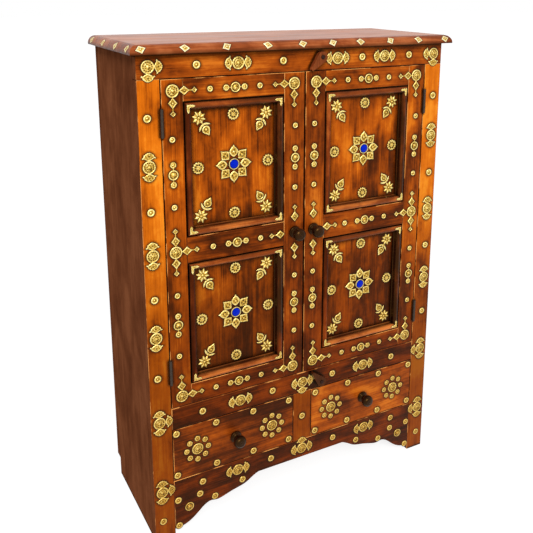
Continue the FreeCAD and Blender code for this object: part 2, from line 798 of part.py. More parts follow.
def moulding_strips(x_low, x_high, z_low, z_high):
    """Four mitred strips round one panel, drawn flat and rising from the panel's face."""
    profile = moulding_profile()
    width, height = x_high - x_low, z_high - z_low
    centre = Vector((x_low + x_high) / 2, (z_low + z_high) / 2, 0)
    strips = []
    for angle, run, span in ((0, height, width), (90, width, height), (180, height, width),
                             (270, width, height)):
        strip = profile.extrude(Vector(0, run, 0))
        strip.translate(Vector(-span / 2, -run / 2, 0))
        slant = mm.moulding_width
        mitre = prism([(-span / 2, -run / 2), (-span / 2 + slant, -run / 2 + slant),
                       (-span / 2 + slant, run / 2 - slant), (-span / 2, run / 2)],
                      mm.panel_recess + mm.moulding_rise + mm.brass_thickness)
        piece = strip.common(mitre)
        piece.Placement = Placement(centre, Rotation(Vector(0, 0, 1), angle))
        strips.append(piece)
    return strips


def door(side, hardware):
    tag = f"door_{SIDE_NAMES[side]}"
    thick = (front, front + size.door_thickness)
    panel_y = (front + size.panel_recess, front + size.panel_recess + size.panel_thickness)
    panel_x = across(side, panel_inner - size.groove_depth, panel_outer + size.groove_depth)
    panels = []
    for place, low, high in (("lower", lower_panel_low, lower_panel_high),
                             ("upper", upper_panel_low, upper_panel_high)):
        panels.append(board(f"{tag}_panel_{place}", panel_x, panel_y,
                            (low - size.groove_depth, high + size.groove_depth)))
    both = keep(f"{tag}_panels", group(f"{tag}_panels", panels))

    knob_x = side * (door_inner + size.meeting_column_inset)
    door_knob = knob(f"{tag}_knob", knob_x, door_middle)

    blank = board(f"{tag}_hinge_stile_blank", across(side, panel_outer, door_outer), thick,
                  (door_low, door_high))
    keep(f"{tag}_hinge_stile", cut(f"{tag}_hinge_stile", blank,
                                   [both, hardware.door_leaves[side], hardware.door_screws[side]]))
    blank = board(f"{tag}_meeting_stile_blank", across(side, door_inner, panel_inner), thick,
                  (door_low, door_high))
    keep(f"{tag}_meeting_stile", cut(f"{tag}_meeting_stile", blank, [both, door_knob]))
    rails = (("bottom", door_low, lower_panel_low), ("middle", lower_panel_high, upper_panel_low),
             ("top", upper_panel_high, door_high))
    for place, low, high in rails:
        name = f"{tag}_rail_{place}"
        blank = board(f"{name}_blank", across(side, panel_inner, panel_outer), thick, (low, high))
        keep(name, cut(name, blank, [both]))

    x_low, x_high = [edge.number for edge in across(side, panel_inner, panel_outer)]
    strips = moulding_strips(x_low, x_high, lower_panel_low.number, lower_panel_high.number)
    strips += moulding_strips(x_low, x_high, upper_panel_low.number, upper_panel_high.number)
    keep(f"{tag}_mouldings", formed(f"{tag}_mouldings", Part.Compound(strips),
                                    at_face(front + size.panel_recess)))
    door_brass(side, tag)


# Drawers


def drawer(side):
    tag = f"drawer_{SIDE_NAMES[side]}"
    front_y = (front, front + size.drawer_front_thickness)
    wall_end = back_inside - size.drawer_back_space
    wall_z = (drawer_low, drawer_low + size.drawer_wall_height)
    wall = size.drawer_wall_thickness
    bottom_z = (drawer_low + size.drawer_bottom_rise,
                drawer_low + size.drawer_bottom_rise + size.drawer_bottom_thickness)
    groove = size.drawer_groove_depth
    bottom = board(f"{tag}_bottom", across(side, drawer_inner + wall - groove, drawer_outer - wall + groove),
                   (front_y[1] - groove, wall_end), bottom_z)
    keep(f"{tag}_bottom", bottom)
    drawer_knob = knob(f"{tag}_knob", side * drawer_middle, drawer_face_middle)
    blank = board(f"{tag}_front_blank", across(side, drawer_inner, drawer_outer), front_y,
                  (drawer_low, drawer_high))
    keep(f"{tag}_front", cut(f"{tag}_front", blank, [bottom, drawer_knob]))
    walls = []
    for place, near, far in (("inner", drawer_inner, drawer_inner + wall),
                             ("outer", drawer_outer - wall, drawer_outer)):
        blank = board(f"{tag}_wall_{place}_blank", across(side, near, far), (front_y[1], wall_end), wall_z)
        walls.append(cut(f"{tag}_wall_{place}", blank, [bottom]))
    walls.append(board(f"{tag}_wall_back", across(side, drawer_inner + wall, drawer_outer - wall),
                       (wall_end - wall, wall_end), (bottom_z[1], wall_z[1])))
    keep(f"{tag}_walls", group(f"{tag}_walls", walls))
    drawer_brass(side, tag)


# Stamped brass, drawn flat with X across, Y up and Z out of the wood

# The wing's tip against its disc, its horns and its concave inner edge, as shares
WING_HORN_SHARE = 0.66
WING_INNER_SHARES = (0.45, 0.62)
PETAL_WAIST_SHARE = 0.64
PETAL_ROOT_SHARE = 0.39
STRAIGHT_PETAL_HALF_SHARE = 0.26
DIAGONAL_PETAL_HALF_SHARE = 0.3
STAR_NOTCH_SHARE = 0.58
BUD_OUTLINE_SHARES = ((0.0, 0.5), (0.2, 0.66), (0.17, 0.8), (0.0, 1.0), (-0.17, 0.8), (-0.2, 0.66))
LEAF_OUTLINE_SHARES = ((0.0, 0.34), (0.14, 0.37), (0.3, 0.52), (0.1, 0.48), (0.0, 0.42))


def disc():
    return turned(mm.disc_radius, mm.brass_thickness, mm.disc_boss_radius, mm.disc_boss_rise)


def stud(radius):
    return turned(radius, mm.brass_thickness, radius, mm.stud_rise)


def wing():
    """A pointed crescent above a disc, its inner tip on the disc's rim."""
    horn_y = mm.wing_reach * WING_HORN_SHARE
    inner_y = mm.wing_reach * WING_INNER_SHARES[1]
    inner_x = mm.wing_half_span * WING_INNER_SHARES[0]
    tip_y = mm.disc_radius - mm.neck_width / 2
    half = mm.neck_width / 2
    horns = [Vector(turn * mm.wing_half_span, horn_y, 0) for turn in (LEFT, RIGHT)]
    tips = [Vector(turn * half, tip_y, 0) for turn in (LEFT, RIGHT)]
    inner = [Vector(turn * inner_x, inner_y, 0) for turn in (LEFT, RIGHT)]
    edges = [
        Part.Arc(horns[0], Vector(0, mm.wing_reach, 0), horns[1]).toShape(),
        Part.Arc(horns[1], inner[1], tips[1]).toShape(),
        Part.makeLine(tips[1], tips[0]),
        Part.Arc(tips[0], inner[0], horns[0]).toShape(),
    ]
    return Part.Face(Part.Wire(edges)).extrude(Vector(0, 0, mm.brass_thickness))


def way_angle(way):
    return WAYS.index(way) * 360 / len(WAYS)


def winged_disc(*ways):
    """A disc with a wing to each of these sides."""
    return merged([disc()] + [moved(wing(), 0, 0, way_angle(way)) for way in ways])


def diamond(reach, centre):
    """A diamond on the Y axis, centred at that height."""
    return prism([(reach, centre), (0, centre + reach), (-reach, centre), (0, centre - reach)],
                 mm.brass_thickness)


def arm(shift):
    """A large and a small diamond in line above a disc or knob, linked by a neck."""
    centre = mm.diamond_step + shift
    tip = mm.tip_step + shift
    return merged([diamond(mm.diamond_reach, centre), neck(centre, tip), diamond(mm.tip_reach, tip)])


def armed_disc(*ways):
    """A disc with an arm to each of these sides."""
    root = neck(0, mm.diamond_step)
    pieces = [disc()]
    for way in ways:
        pieces += [moved(root, 0, 0, way_angle(way)), moved(arm(0), 0, 0, way_angle(way))]
    return merged(pieces)


def triple():
    """A domed disc between two beads, along Y."""
    dome = turned(mm.dome_radius, mm.brass_thickness, mm.dome_radius, mm.dome_rise)
    bead = turned(mm.bead_radius, mm.brass_thickness, mm.bead_radius, mm.bead_rise)
    beads = [moved(bead, 0, turn * mm.bead_step) for turn in (-1, 1)]
    return merged([dome, neck(-mm.bead_step, mm.bead_step)] + beads)


def cluster():
    """A disc and the separate beads that ring it."""
    bead = turned(mm.bead_radius, mm.brass_thickness, mm.bead_radius, mm.bead_rise)
    bead.translate(Vector(0, mm.cluster_ring_radius, 0))
    step = 360 / CLUSTER_BEADS
    return [disc()] + [moved(bead, 0, 0, count * step) for count in range(CLUSTER_BEADS)]


def petal(half):
    """A kite-shaped petal along +Y."""
    reach = mm.flower_reach
    root, waist = reach * PETAL_ROOT_SHARE, reach * PETAL_WAIST_SHARE
    return prism([(0, root), (reach * half, waist), (0, reach), (-reach * half, waist)],
                 mm.brass_thickness)


def flower():
    """A ring of eight petals, and the collar inside it that holds the cabochon."""
    step = 360 / PETALS
    halves = (STRAIGHT_PETAL_HALF_SHARE, DIAGONAL_PETAL_HALF_SHARE)
    petals = [moved(petal(halves[count % 2]), 0, 0, count * step) for count in range(PETALS)]
    collar = Part.makeCylinder(mm.flower_collar_radius, mm.brass_thickness + mm.flower_collar_rise)
    seat = Part.makeCylinder(mm.cabochon_radius, mm.flower_collar_rise, Vector(0, 0, mm.brass_thickness))
    return [merged(petals), collar.cut(seat)]


def cabochon():
    rim = mm.flower_collar_rise
    stone = turned(mm.cabochon_radius, rim, mm.cabochon_radius, mm.cabochon_rise - rim)
    stone.translate(Vector(0, 0, mm.brass_thickness))
    return stone


def sprig():
    """A pointed star with two leaves and a bud along +Y."""
    points = []
    for count in range(2 * PETALS):
        radius = mm.star_radius * (1 if count % 2 == 0 else STAR_NOTCH_SHARE)
        angle = math.pi * count / PETALS
        points.append((radius * math.sin(angle), radius * math.cos(angle)))
    star = prism(points, mm.brass_thickness)
    peak = turned(mm.star_radius * STAR_NOTCH_SHARE, mm.brass_thickness,
                  mm.star_radius * STAR_NOTCH_SHARE, mm.star_rise)
    reach = mm.bud_reach
    bud = prism([(x * reach, y * reach) for x, y in BUD_OUTLINE_SHARES], mm.brass_thickness)
    leaf = [(x * reach, y * reach) for x, y in LEAF_OUTLINE_SHARES]
    other = [(-x, y) for x, y in reversed(leaf)]
    link = neck(0, reach * BUD_OUTLINE_SHARES[1][1])
    return merged([star, peak, bud, prism(leaf, mm.brass_thickness), prism(other, mm.brass_thickness),
                   link])


def bracket():
    """A small angle plate with pointed ends, its outer corner at the origin."""
    long, wide = mm.bracket_length, mm.bracket_width
    square = long - wide / 2
    return prism([(0, 0), (square, 0), (long, wide / 2), (square, wide), (wide, wide), (wide, square),
                  (wide / 2, long), (0, square)], mm.brass_thickness)


# The ways that wings and arms point, in turn from +Y towards -X
WAYS = ("up", "left", "down", "right")

# Heights on the frame's stiles, as shares of the way from the middle rail to the top rail
COLUMN_DISC_SHARES = (0.26, 0.499, 0.742)
COLUMN_STUD_SHARES = (0.138, 0.373, 0.62, 0.869)
LOW_DISC_SHARE = 0.87
FOOT_STUD_SHARE = 0.33

# Places along the rails, as shares of half the carcass's width
TOP_RAIL_DISC_SHARES = (-0.425, 0.218, 0.556)
TOP_RAIL_STUD_SHARES = (-0.668, -0.145, 0.392, 0.742)
MIDDLE_RAIL_DISC_SHARES = (-0.435, 0.465)
MIDDLE_RAIL_STUD_SHARES = (-0.682, -0.214, 0.225, 0.698)
BOTTOM_RAIL_DISC_SHARES = (-0.458, 0.487)
BOTTOM_RAIL_STUD_SHARES = (-0.692, -0.226, 0.239, 0.715)

# Studs on the apron: across as a share of half the carcass, up as a share of the crown
APRON_STUD_SHARES = ((0.852, 0.96), (0.712, 0.94), (0.614, 0.725), (0.427, 0.93), (0.85, 0.23))
APRON_DOME_SHARES = (0.782, 0.68)


def frame_brass():
    half = half_width.number
    column = half - mm.frame_column_inset
    corner = half - mm.frame_corner_inset
    top_z = (door_opening_top.number + top_under.number) / 2
    middle_z = (drawer_opening_top.number + door_opening_bottom.number) / 2
    low_z = mm.bottom_rail_top * LOW_DISC_SHARE
    rail_z = (mm.bottom_rail_top + mm.apron_crown) / 2
    discs, studs = [], []
    small = stud(mm.frame_stud_radius)
    upright = winged_disc("up", "down")
    level = winged_disc("left", "right")
    for side, inward in ((LEFT, "right"), (RIGHT, "left")):
        discs.append(moved(winged_disc(inward, "down"), side * corner, top_z))
        for z in (middle_z, low_z):
            discs.append(moved(winged_disc("up", "down", inward), side * column, z))
        for share in COLUMN_DISC_SHARES:
            discs.append(moved(upright, side * column, middle_z + share * (top_z - middle_z)))
        for share in COLUMN_STUD_SHARES:
            studs.append(moved(small, side * column, middle_z + share * (top_z - middle_z)))
        studs.append(moved(small, side * column, mm.bottom_rail_top * FOOT_STUD_SHARE))
        for across_share, up_share in APRON_STUD_SHARES:
            studs.append(moved(small, side * half * across_share, mm.apron_crown * up_share))
        dome = turned(mm.dome_radius, mm.brass_thickness, mm.dome_radius, mm.dome_rise)
        across_share, up_share = APRON_DOME_SHARES
        studs.append(moved(dome, side * half * across_share, mm.apron_crown * up_share))
    for z, disc_shares, stud_shares in (
        (top_z, TOP_RAIL_DISC_SHARES, TOP_RAIL_STUD_SHARES),
        (middle_z, MIDDLE_RAIL_DISC_SHARES, MIDDLE_RAIL_STUD_SHARES),
        (rail_z, BOTTOM_RAIL_DISC_SHARES, BOTTOM_RAIL_STUD_SHARES),
    ):
        discs += [moved(level, half * share, z) for share in disc_shares]
        studs += [moved(small, half * share, z) for share in stud_shares]
    discs.append(moved(winged_disc("left", "down", "right"), 0, middle_z))
    discs.append(moved(winged_disc("left", "up", "right"), 0, rail_z))
    divider_z = (mm.bottom_rail_top + drawer_opening_top.number) / 2
    studs.append(moved(small, 0, divider_z))
    keep("frame_mounts", formed("frame_mounts", Part.Compound(discs + studs), at_face(front)))


# Places down a door's stile, as shares of the way from a corner disc to the middle rail
HINGE_COLUMN_SHARES = (0.29, 0.507, 0.71)
MEETING_COLUMN_SHARES = (0.274, 0.488, 0.688)
RAIL_STUD_SHARE = 0.347

# A rosette's place, as a share of its way from the flower's tip to the moulding
ROSETTE_SHARE = 0.946


def rosette_place(half_span):
    """How far from the flower's centre a rosette lies, towards a panel's side."""
    low = mm.flower_reach + mm.rosette_radius
    high = half_span - mm.moulding_width - mm.rosette_radius
    return low + ROSETTE_SHARE * (high - low)


def door_brass(side, tag):
    outer, inner = door_outer.number, door_inner.number
    low, high, middle = door_low.number, door_high.number, door_middle.number
    hinge_column = side * (outer - mm.column_inset)
    meeting_column = side * (inner + mm.meeting_column_inset)
    inward, outward = ("right", "left") if side == LEFT else ("left", "right")
    corner_z = {"up": high - mm.corner_inset, "down": low + mm.corner_inset}
    hinge_corner = side * (outer - mm.corner_inset)
    meeting_corner = side * (inner + mm.meeting_corner_inset)
    upright, level = triple(), moved(triple(), 0, 0, way_angle("left"))
    small = stud(mm.door_stud_radius)
    mounts = []
    for facing, z in corner_z.items():
        away = "down" if facing == "up" else "up"
        mounts.append(moved(armed_disc(inward, away), hinge_corner, z))
        mounts.append(moved(armed_disc(outward, away), meeting_corner, z))
        for column, shares in ((hinge_column, HINGE_COLUMN_SHARES), (meeting_column, MEETING_COLUMN_SHARES)):
            first, linked, last = [z + share * (middle - z) for share in shares]
            mounts += [moved(small, column, first), moved(small, column, last)]
            mounts.append(moved(upright, column, linked))
    mounts.append(moved(armed_disc("up", inward, "down"), hinge_column, middle))
    for way in ("up", outward, "down"):
        mounts.append(moved(arm(mm.knob_arm_shift), meeting_column, middle, way_angle(way)))
    centre = side * panel_middle.number
    spread = RAIL_STUD_SHARE * (outer - inner) / 2
    for z in (corner_z["down"], middle, corner_z["up"]):
        mounts += [moved(small, centre - spread, z), moved(small, centre + spread, z)]
        mounts.append(moved(level, centre, z))
    keep(f"{tag}_frame_mounts", formed(f"{tag}_frame_mounts", Part.Compound(mounts), at_face(front)))

    half_width_inside = (panel_outer.number - panel_inner.number) / 2
    rosette = turned(mm.rosette_radius, mm.brass_thickness, mm.disc_boss_radius, mm.disc_boss_rise)
    sprig_margin = mm.moulding_width + mm.sprig_gap + mm.star_radius
    brass, stones, brackets = [], [], []
    for bottom, top in ((lower_panel_low.number, lower_panel_high.number),
                        (upper_panel_low.number, upper_panel_high.number)):
        z = (bottom + top) / 2
        half_height = (top - bottom) / 2
        brass += [moved(piece, centre, z) for piece in flower()]
        stones.append(moved(cabochon(), centre, z))
        for turn in (LEFT, RIGHT):
            brass.append(moved(rosette, centre + turn * rosette_place(half_width_inside), z))
            brass.append(moved(rosette, centre, z + turn * rosette_place(half_height)))
        for turn, lift, angle in ((RIGHT, 1, 0), (LEFT, 1, 90), (LEFT, -1, 180), (RIGHT, -1, 270)):
            x = turn * (half_width_inside - sprig_margin)
            y = lift * (half_height - sprig_margin)
            aim = math.degrees(math.atan2(x, -y))
            brass.append(moved(sprig(), centre + x, z + y, aim))
            reach_x = half_width_inside - mm.bracket_inset
            reach_z = half_height - mm.bracket_inset
            brackets.append(moved(bracket(), centre + turn * reach_x, z + lift * reach_z, angle + 180))
    keep(f"{tag}_cabochons", formed(f"{tag}_cabochons", Part.Compound(stones),
                                    at_face(front + size.panel_recess)))
    rise = mm.panel_recess + mm.moulding_rise
    for plate in brackets:
        plate.translate(Vector(0, 0, rise))
    keep(f"{tag}_panel_mounts", formed(f"{tag}_panel_mounts", Part.Compound(brass + brackets),
                                       at_face(front + size.panel_recess)))


# Studs on a drawer's face, as shares of half its width, and clusters either side of the knob
DRAWER_STUD_SHARES = (-0.924, -0.3, 0.318, 0.948)
DRAWER_STUD_RISE_SHARE = 0.825
CLUSTER_SHARE = 0.624


def drawer_brass(side, tag):
    half = (drawer_outer.number - drawer_inner.number) / 2
    half_height = (drawer_high.number - drawer_low.number) / 2
    centre = side * drawer_middle.number
    middle = drawer_face_middle.number
    small = stud(mm.frame_stud_radius)
    mounts = []
    for lift in (-1, 1):
        for share in DRAWER_STUD_SHARES:
            mounts.append(moved(small, centre + side * half * share,
                                middle + lift * DRAWER_STUD_RISE_SHARE * half_height))
    for turn in (LEFT, RIGHT):
        mounts += [moved(piece, centre + turn * CLUSTER_SHARE * half, middle) for piece in cluster()]
    keep(f"{tag}_mounts", formed(f"{tag}_mounts", Part.Compound(mounts), at_face(front)))


# Diamonds bent over the top's nosing: along the front as shares of half the carcass's width,
# and along each side as shares of the carcass's depth
NOSING_FRONT_SHARES = (-0.983, -0.748, -0.511, -0.265, -0.045, 0.155, 0.346, 0.563, 0.776, 0.985)
NOSING_SIDE_SHARES = (0.03, 0.29, 0.6, 0.91)


def nosing_diamond():
    """A diamond bent over a round along X and the lip under it, about the round's centre line."""
    half, reach = mm.nosing_diamond_half_length, mm.nosing_diamond_reach
    skin = mm.nosing_radius + mm.brass_thickness
    lip = mm.top_thickness - mm.nosing_radius
    start, along = Vector(-half, 0, 0), Vector(1, 0, 0)
    tube = Part.makeCylinder(skin, 2 * half, start, along).cut(
        Part.makeCylinder(mm.nosing_radius, 2 * half, start, along))
    quarter = tube.common(Part.makeBox(2 * half, skin, skin, Vector(-half, -skin, 0)))
    strip = Part.makeBox(2 * half, mm.brass_thickness, lip, Vector(-half, -skin, -lip))
    blade = prism([(half, 0), (0, reach), (-half, 0), (0, -reach)], 2 * mm.nosing_radius)
    blade.Placement = Placement(Vector(0, 0, 0), Rotation(along, 90 - mm.nosing_diamond_lean))
    return quarter.fuse(strip).removeSplitter().common(blade)


def nosing_diamonds():
    plates = []
    centre_z = mm.cabinet_height - mm.nosing_radius
    front_y = front.number - mm.top_overhang_front + mm.nosing_radius
    edge_x = half_width.number + mm.top_overhang_side - mm.nosing_radius
    plate = nosing_diamond()
    for share in NOSING_FRONT_SHARES:
        copy = plate.copy()
        copy.Placement = Placement(Vector(share * half_width.number, front_y, centre_z), Rotation())
        plates.append(copy)
    for side, angle in ((LEFT, -90), (RIGHT, 90)):
        for share in NOSING_SIDE_SHARES:
            copy = plate.copy()
            y = front.number + share * mm.carcass_depth
            copy.Placement = Placement(Vector(side * edge_x, y, centre_z),
                                       Rotation(Vector(0, 0, 1), angle))
            plates.append(copy)
    keep("nosing_diamonds", formed("nosing_diamonds", Part.Compound(plates)))


# The whole cabinet

for one_side in (LEFT, RIGHT):
    side_panel(one_side)
back_boards()
top_board()
inside_boards()
drawer_runners()
fittings = hardware_nodes()
face_frame(fittings)
for button_name, (button_x, button_z, button_angle) in BUTTONS.items():
    turn_button(button_name, button_x, button_z, button_angle)
for one_side in (LEFT, RIGHT):
    door(one_side, fittings)
    drawer(one_side)
frame_brass()
nosing_diamonds()
doc.recompute()

# Nothing is written unless every object is sound

for thing in doc.Objects:
    if "Invalid" in thing.State or "Error" in thing.State:
        raise RuntimeError(f"{thing.Label} failed: {thing.State}")
for label, thing in nodes.items():
    if thing.Shape.isNull() or not thing.Shape.isValid() or not thing.Shape.Solids:
        raise RuntimeError(f"{label} has no sound solid")

os.makedirs("parts", exist_ok=True)
for label, thing in nodes.items():
    thing.Shape.exportStep(os.path.join("parts", f"{label}.step"))

box = Part.Compound([thing.Shape for thing in nodes.values()]).BoundBox
print(len(nodes), "nodes,", sum(len(thing.Shape.Solids) for thing in nodes.values()), "solids")
print(f"box X {box.XMin:.2f}..{box.XMax:.2f} Y {box.YMin:.2f}..{box.YMax:.2f} Z {box.ZMin:.2f}..{box.ZMax:.2f}")
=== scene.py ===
import json
import math

import bmesh
import bpy
import numpy as np
from mathutils import Matrix, Vector

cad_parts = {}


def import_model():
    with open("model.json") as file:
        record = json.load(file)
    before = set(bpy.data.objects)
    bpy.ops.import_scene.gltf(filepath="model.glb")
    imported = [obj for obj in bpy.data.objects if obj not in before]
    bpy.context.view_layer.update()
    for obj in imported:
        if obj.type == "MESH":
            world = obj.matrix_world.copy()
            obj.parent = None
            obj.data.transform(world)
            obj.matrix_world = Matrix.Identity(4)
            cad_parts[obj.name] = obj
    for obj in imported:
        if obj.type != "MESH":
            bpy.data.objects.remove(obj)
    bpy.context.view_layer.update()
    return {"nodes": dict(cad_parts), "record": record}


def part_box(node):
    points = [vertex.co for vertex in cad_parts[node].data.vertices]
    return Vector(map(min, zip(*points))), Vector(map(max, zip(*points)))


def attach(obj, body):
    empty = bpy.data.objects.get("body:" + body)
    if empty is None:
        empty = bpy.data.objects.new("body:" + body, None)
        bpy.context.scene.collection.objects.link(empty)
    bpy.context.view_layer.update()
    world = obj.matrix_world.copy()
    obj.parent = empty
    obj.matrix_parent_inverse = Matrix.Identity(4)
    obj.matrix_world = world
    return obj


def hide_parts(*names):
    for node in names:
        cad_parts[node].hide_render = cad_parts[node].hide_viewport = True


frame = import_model()
NODES = frame["nodes"]

MM = 0.001
SIDES = ("left", "right")
DOOR_FINISH = {"hinge_stile": "door_stile", "meeting_stile": "meeting_stile", "rail_bottom": "door_rail",
               "rail_middle": "door_rail", "rail_top": "door_rail"}


# Node networks


class Net:
    """A material's or the world's node network, built by short calls."""

    def __init__(self, name, owners=None):
        self.owner = (bpy.data.materials if owners is None else owners).new(name)
        self.owner.use_nodes = True
        self.tree = self.owner.node_tree
        self.shader = self.tree.nodes.get("Principled BSDF")
        if self.shader:
            self.here = self.add("ShaderNodeTexCoord").outputs["Object"]

    def add(self, kind, inputs=None, **settings):
        """A new node with its settings, its inputs fed by name or number."""
        node = self.tree.nodes.new(kind)
        for key, value in settings.items():
            setattr(node, key, value)
        for key, value in (inputs or {}).items():
            self.feed(node.inputs[key], value)
        return node

    def feed(self, socket, value):
        """Links a socket, or sets it; a colour is given as three numbers."""
        if isinstance(value, bpy.types.NodeSocket):
            self.tree.links.new(value, socket)
        else:
            socket.default_value = (*value, 1.0) if socket.type == "RGBA" else value

    def math(self, operation, first, second=0.0):
        return self.add("ShaderNodeMath", {0: first, 1: second}, operation=operation).outputs[0]

    def times(self, first, second):
        return self.math("MULTIPLY", first, second)

    def plus(self, first, second):
        return self.math("ADD", first, second)

    def off_middle(self, value, share):
        """How far a noise lies from its middle, times a share."""
        return self.times(self.math("SUBTRACT", value, 0.5), share)

    def stretch(self, scale, shift=(0.0, 0.0, 0.0), source=None):
        inputs = {"Vector": source if source else self.here, "Scale": scale, "Location": shift}
        return self.add("ShaderNodeMapping", inputs).outputs[0]

    def noise(self, source, scale, detail=3.0, roughness=0.5, distortion=0.0):
        inputs = {"Vector": source, "Scale": scale, "Detail": detail, "Roughness": roughness,
                  "Distortion": distortion}
        return self.add("ShaderNodeTexNoise", inputs).outputs["Fac"]

    def span(self, value, low, high, to_low=0.0, to_high=1.0):
        inputs = {"Value": value, "From Min": low, "From Max": high, "To Min": to_low, "To Max": to_high}
        return self.add("ShaderNodeMapRange", inputs, interpolation_type="SMOOTHSTEP").outputs[0]

    def ramp(self, value, stops):
        node = self.add("ShaderNodeValToRGB", {0: value})
        elements = node.color_ramp.elements
        while len(elements) < len(stops):
            elements.new(0.5)
        for element, (place, colour) in zip(elements, stops):
            element.position = place
            element.color = (*colour, 1.0)
        return node.outputs[0]

    def mix(self, share, first, second, blend="MIX"):
        inputs = {"Factor": share, 6: first, 7: second}
        return self.add("ShaderNodeMix", inputs, data_type="RGBA", blend_type=blend).outputs[2]

    def parts(self, source):
        return self.add("ShaderNodeSeparateXYZ", {0: source}).outputs

    def join(self, x, y, z):
        return self.add("ShaderNodeCombineXYZ", {0: x, 1: y, 2: z}).outputs[0]

    def dimmed(self, colour, shades):
        """A colour times a shade of its own for red, green and blue."""
        return self.mix(1.0, colour, self.join(*shades), "MULTIPLY")

    def attribute(self, name):
        return self.add("ShaderNodeAttribute", attribute_name=name).outputs["Fac"]

    def bump(self, height, distance, strength):
        inputs = {"Height": height, "Distance": distance, "Strength": strength}
        self.set(Normal=self.add("ShaderNodeBump", inputs).outputs[0])

    def set(self, **values):
        for key, value in values.items():
            self.feed(self.shader.inputs[key.replace("_", " ")], value)


def srgb(red, green, blue):
    """A colour written as it looks on a screen, 0 to 255, as linear numbers."""
    linear = []
    for part in (red, green, blue):
        value = part / 255
        linear.append(value / 12.92 if value <= 0.04045 else ((value + 0.055) / 1.055) ** 2.4)
    return tuple(linear)


GRAIN_SCALES = {"x": (1.0, 9.0, 9.0), "y": (9.0, 1.0, 9.0), "z": (9.0, 9.0, 1.0)}
AMBER_SHEEN = (1.0, 0.5, 0.14)
RED_SHEEN = (1.0, 0.62, 0.42)
DARK_WAX_AND_SHADE = srgb(26, 8, 3)

# Painted shade: wood darkens from the upper height down to the lower one, each channel by its share, as the
# light falls off towards the floor
FLOOR_SHADE_HEIGHTS = (0.3, 0.9)
FLOOR_SHADE_SHARES = (1.0, 0.8, 0.6)

# Painted shade in every crevice, from ambient occlusion: reach in millimetres, occlusion from and to, and the
# darkest shade
CREVICE_SHADE = (8.0, 0.78, 0.985, 0.12)
WELL_SHADE = (28.0, 0.66, 0.97, 0.2)


def wood(name, grain, stops, rough, tone=0.0, seed=0.0, boards=0.0, shine=0.18, sheen=AMBER_SHEEN,
         contrast=1.0, low=1.0, crevice_shade=CREVICE_SHADE):
    """Stained wood: cloudy stain over streaked grain, knots, and painted shade in every crevice."""
    net = Net(name)
    here = net.stretch((1.0, 1.0, 1.0), (seed * 3.7, seed * 1.3, seed * 2.9))
    if boards:
        x, y, z = net.parts(here)
        number = net.math("FLOOR", net.math("DIVIDE", x, boards))
        chance = net.add("ShaderNodeTexWhiteNoise", {"W": number}, noise_dimensions="1D").outputs["Value"]
        hop = net.times(chance, 7.0)
        here = net.join(net.plus(x, hop), y, net.plus(z, hop))

    def along(power):
        return net.stretch(tuple(part ** power for part in GRAIN_SCALES[grain]), source=here)

    figure = net.noise(along(1.0), 5.0, 4.0, 0.55, 0.8)
    fibre = net.noise(along(1.6), 9.0, 4.0, 0.65, 0.1)
    cloud = net.noise(along(0.3), 6.5, 4.0, 0.5, 0.6)
    mottle = net.noise(along(0.0), 40.0, 3.0, 0.6, 0.8)
    level = net.times(figure, 0.22)
    for share, part in ((0.2, fibre), (0.48, cloud), (0.1, mottle)):
        level = net.plus(level, net.times(part, share))
    if boards:
        level = net.plus(level, net.off_middle(chance, 0.035))
    half = 0.15 / contrast
    colour = net.ramp(net.span(level, 0.5 - half - tone, 0.5 + half - tone), stops)
    knots = net.add("ShaderNodeTexVoronoi", {"Vector": along(0.3), "Scale": 5.0}).outputs["Distance"]
    colour = net.mix(net.span(knots, 0.02, 0.09, 0.7, 0.0), colour, stops[0][1])
    # Each vertex's attribute darkens the wood: real wax round the brass, and painted shade on the mouldings
    # and under the nosing
    colour = net.mix(net.times(net.attribute("wax_and_shade"), 0.9), colour, DARK_WAX_AND_SHADE)
    # Painted shade: the wood darkens where ambient occlusion finds a crevice, a gap or a recess
    reach, open_from, open_to, darkest = crevice_shade
    occlusion = net.add("ShaderNodeAmbientOcclusion", {"Distance": reach * MM}, samples=10)
    occlusion_shade = net.span(occlusion.outputs["AO"], open_from, open_to, darkest)
    shades = [occlusion_shade, occlusion_shade, occlusion_shade]
    # Painted shade towards the floor, by height
    if low < 1.0:
        height = net.parts(net.here)[2]
        shades = [net.times(occlusion_shade, net.span(height, *FLOOR_SHADE_HEIGHTS, low * part)) for part in FLOOR_SHADE_SHARES]
    net.set(Base_Color=net.dimmed(colour, shades), Specular_IOR_Level=shine, Specular_Tint=sheen,
            Roughness=net.span(figure, 0.3, 0.7, rough - 0.06, rough + 0.1))
    net.bump(net.plus(fibre, net.times(mottle, 0.5)), 0.3 * MM, 0.8)
    return net.owner


def stained(*colours, places=(0.0, 0.5, 1.0)):
    """A ramp's stops from colours as they look on a screen."""
    return [(place, srgb(*colour)) for place, colour in zip(places, colours)]


FIVE_PLACES = (0.0, 0.25, 0.5, 0.8, 1.0)
ORANGE = stained((90, 34, 4), (150, 66, 6), (196, 96, 10), (218, 112, 16), (240, 142, 34),
                 places=(0.0, 0.22, 0.5, 0.8, 1.0))
AMBER = stained((56, 18, 3), (102, 40, 5), (147, 64, 7), (182, 84, 11), (220, 118, 24), places=FIVE_PLACES)
DEEP = stained((50, 16, 4), (92, 35, 6), (132, 56, 9), (166, 76, 14), (206, 110, 28), places=FIVE_PLACES)
BROWN = stained((94, 50, 29), (121, 69, 42), (146, 88, 56))
TOP = stained((150, 84, 54), (182, 106, 70), (206, 132, 92))
NOSING_SHADED = stained((90, 38, 18), (146, 72, 36), (194, 114, 66))
RAW = stained((140, 98, 60), (168, 122, 78), (190, 146, 98))
MOULDED = stained((70, 24, 8), (140, 62, 22), (222, 124, 52))
SHADED = stained((16, 5, 2), (58, 20, 7), (138, 60, 18))
TURNED = stained((12, 5, 3), (30, 13, 7), (58, 27, 13))
BUTTON = stained((80, 32, 14), (136, 66, 32), (180, 102, 58))

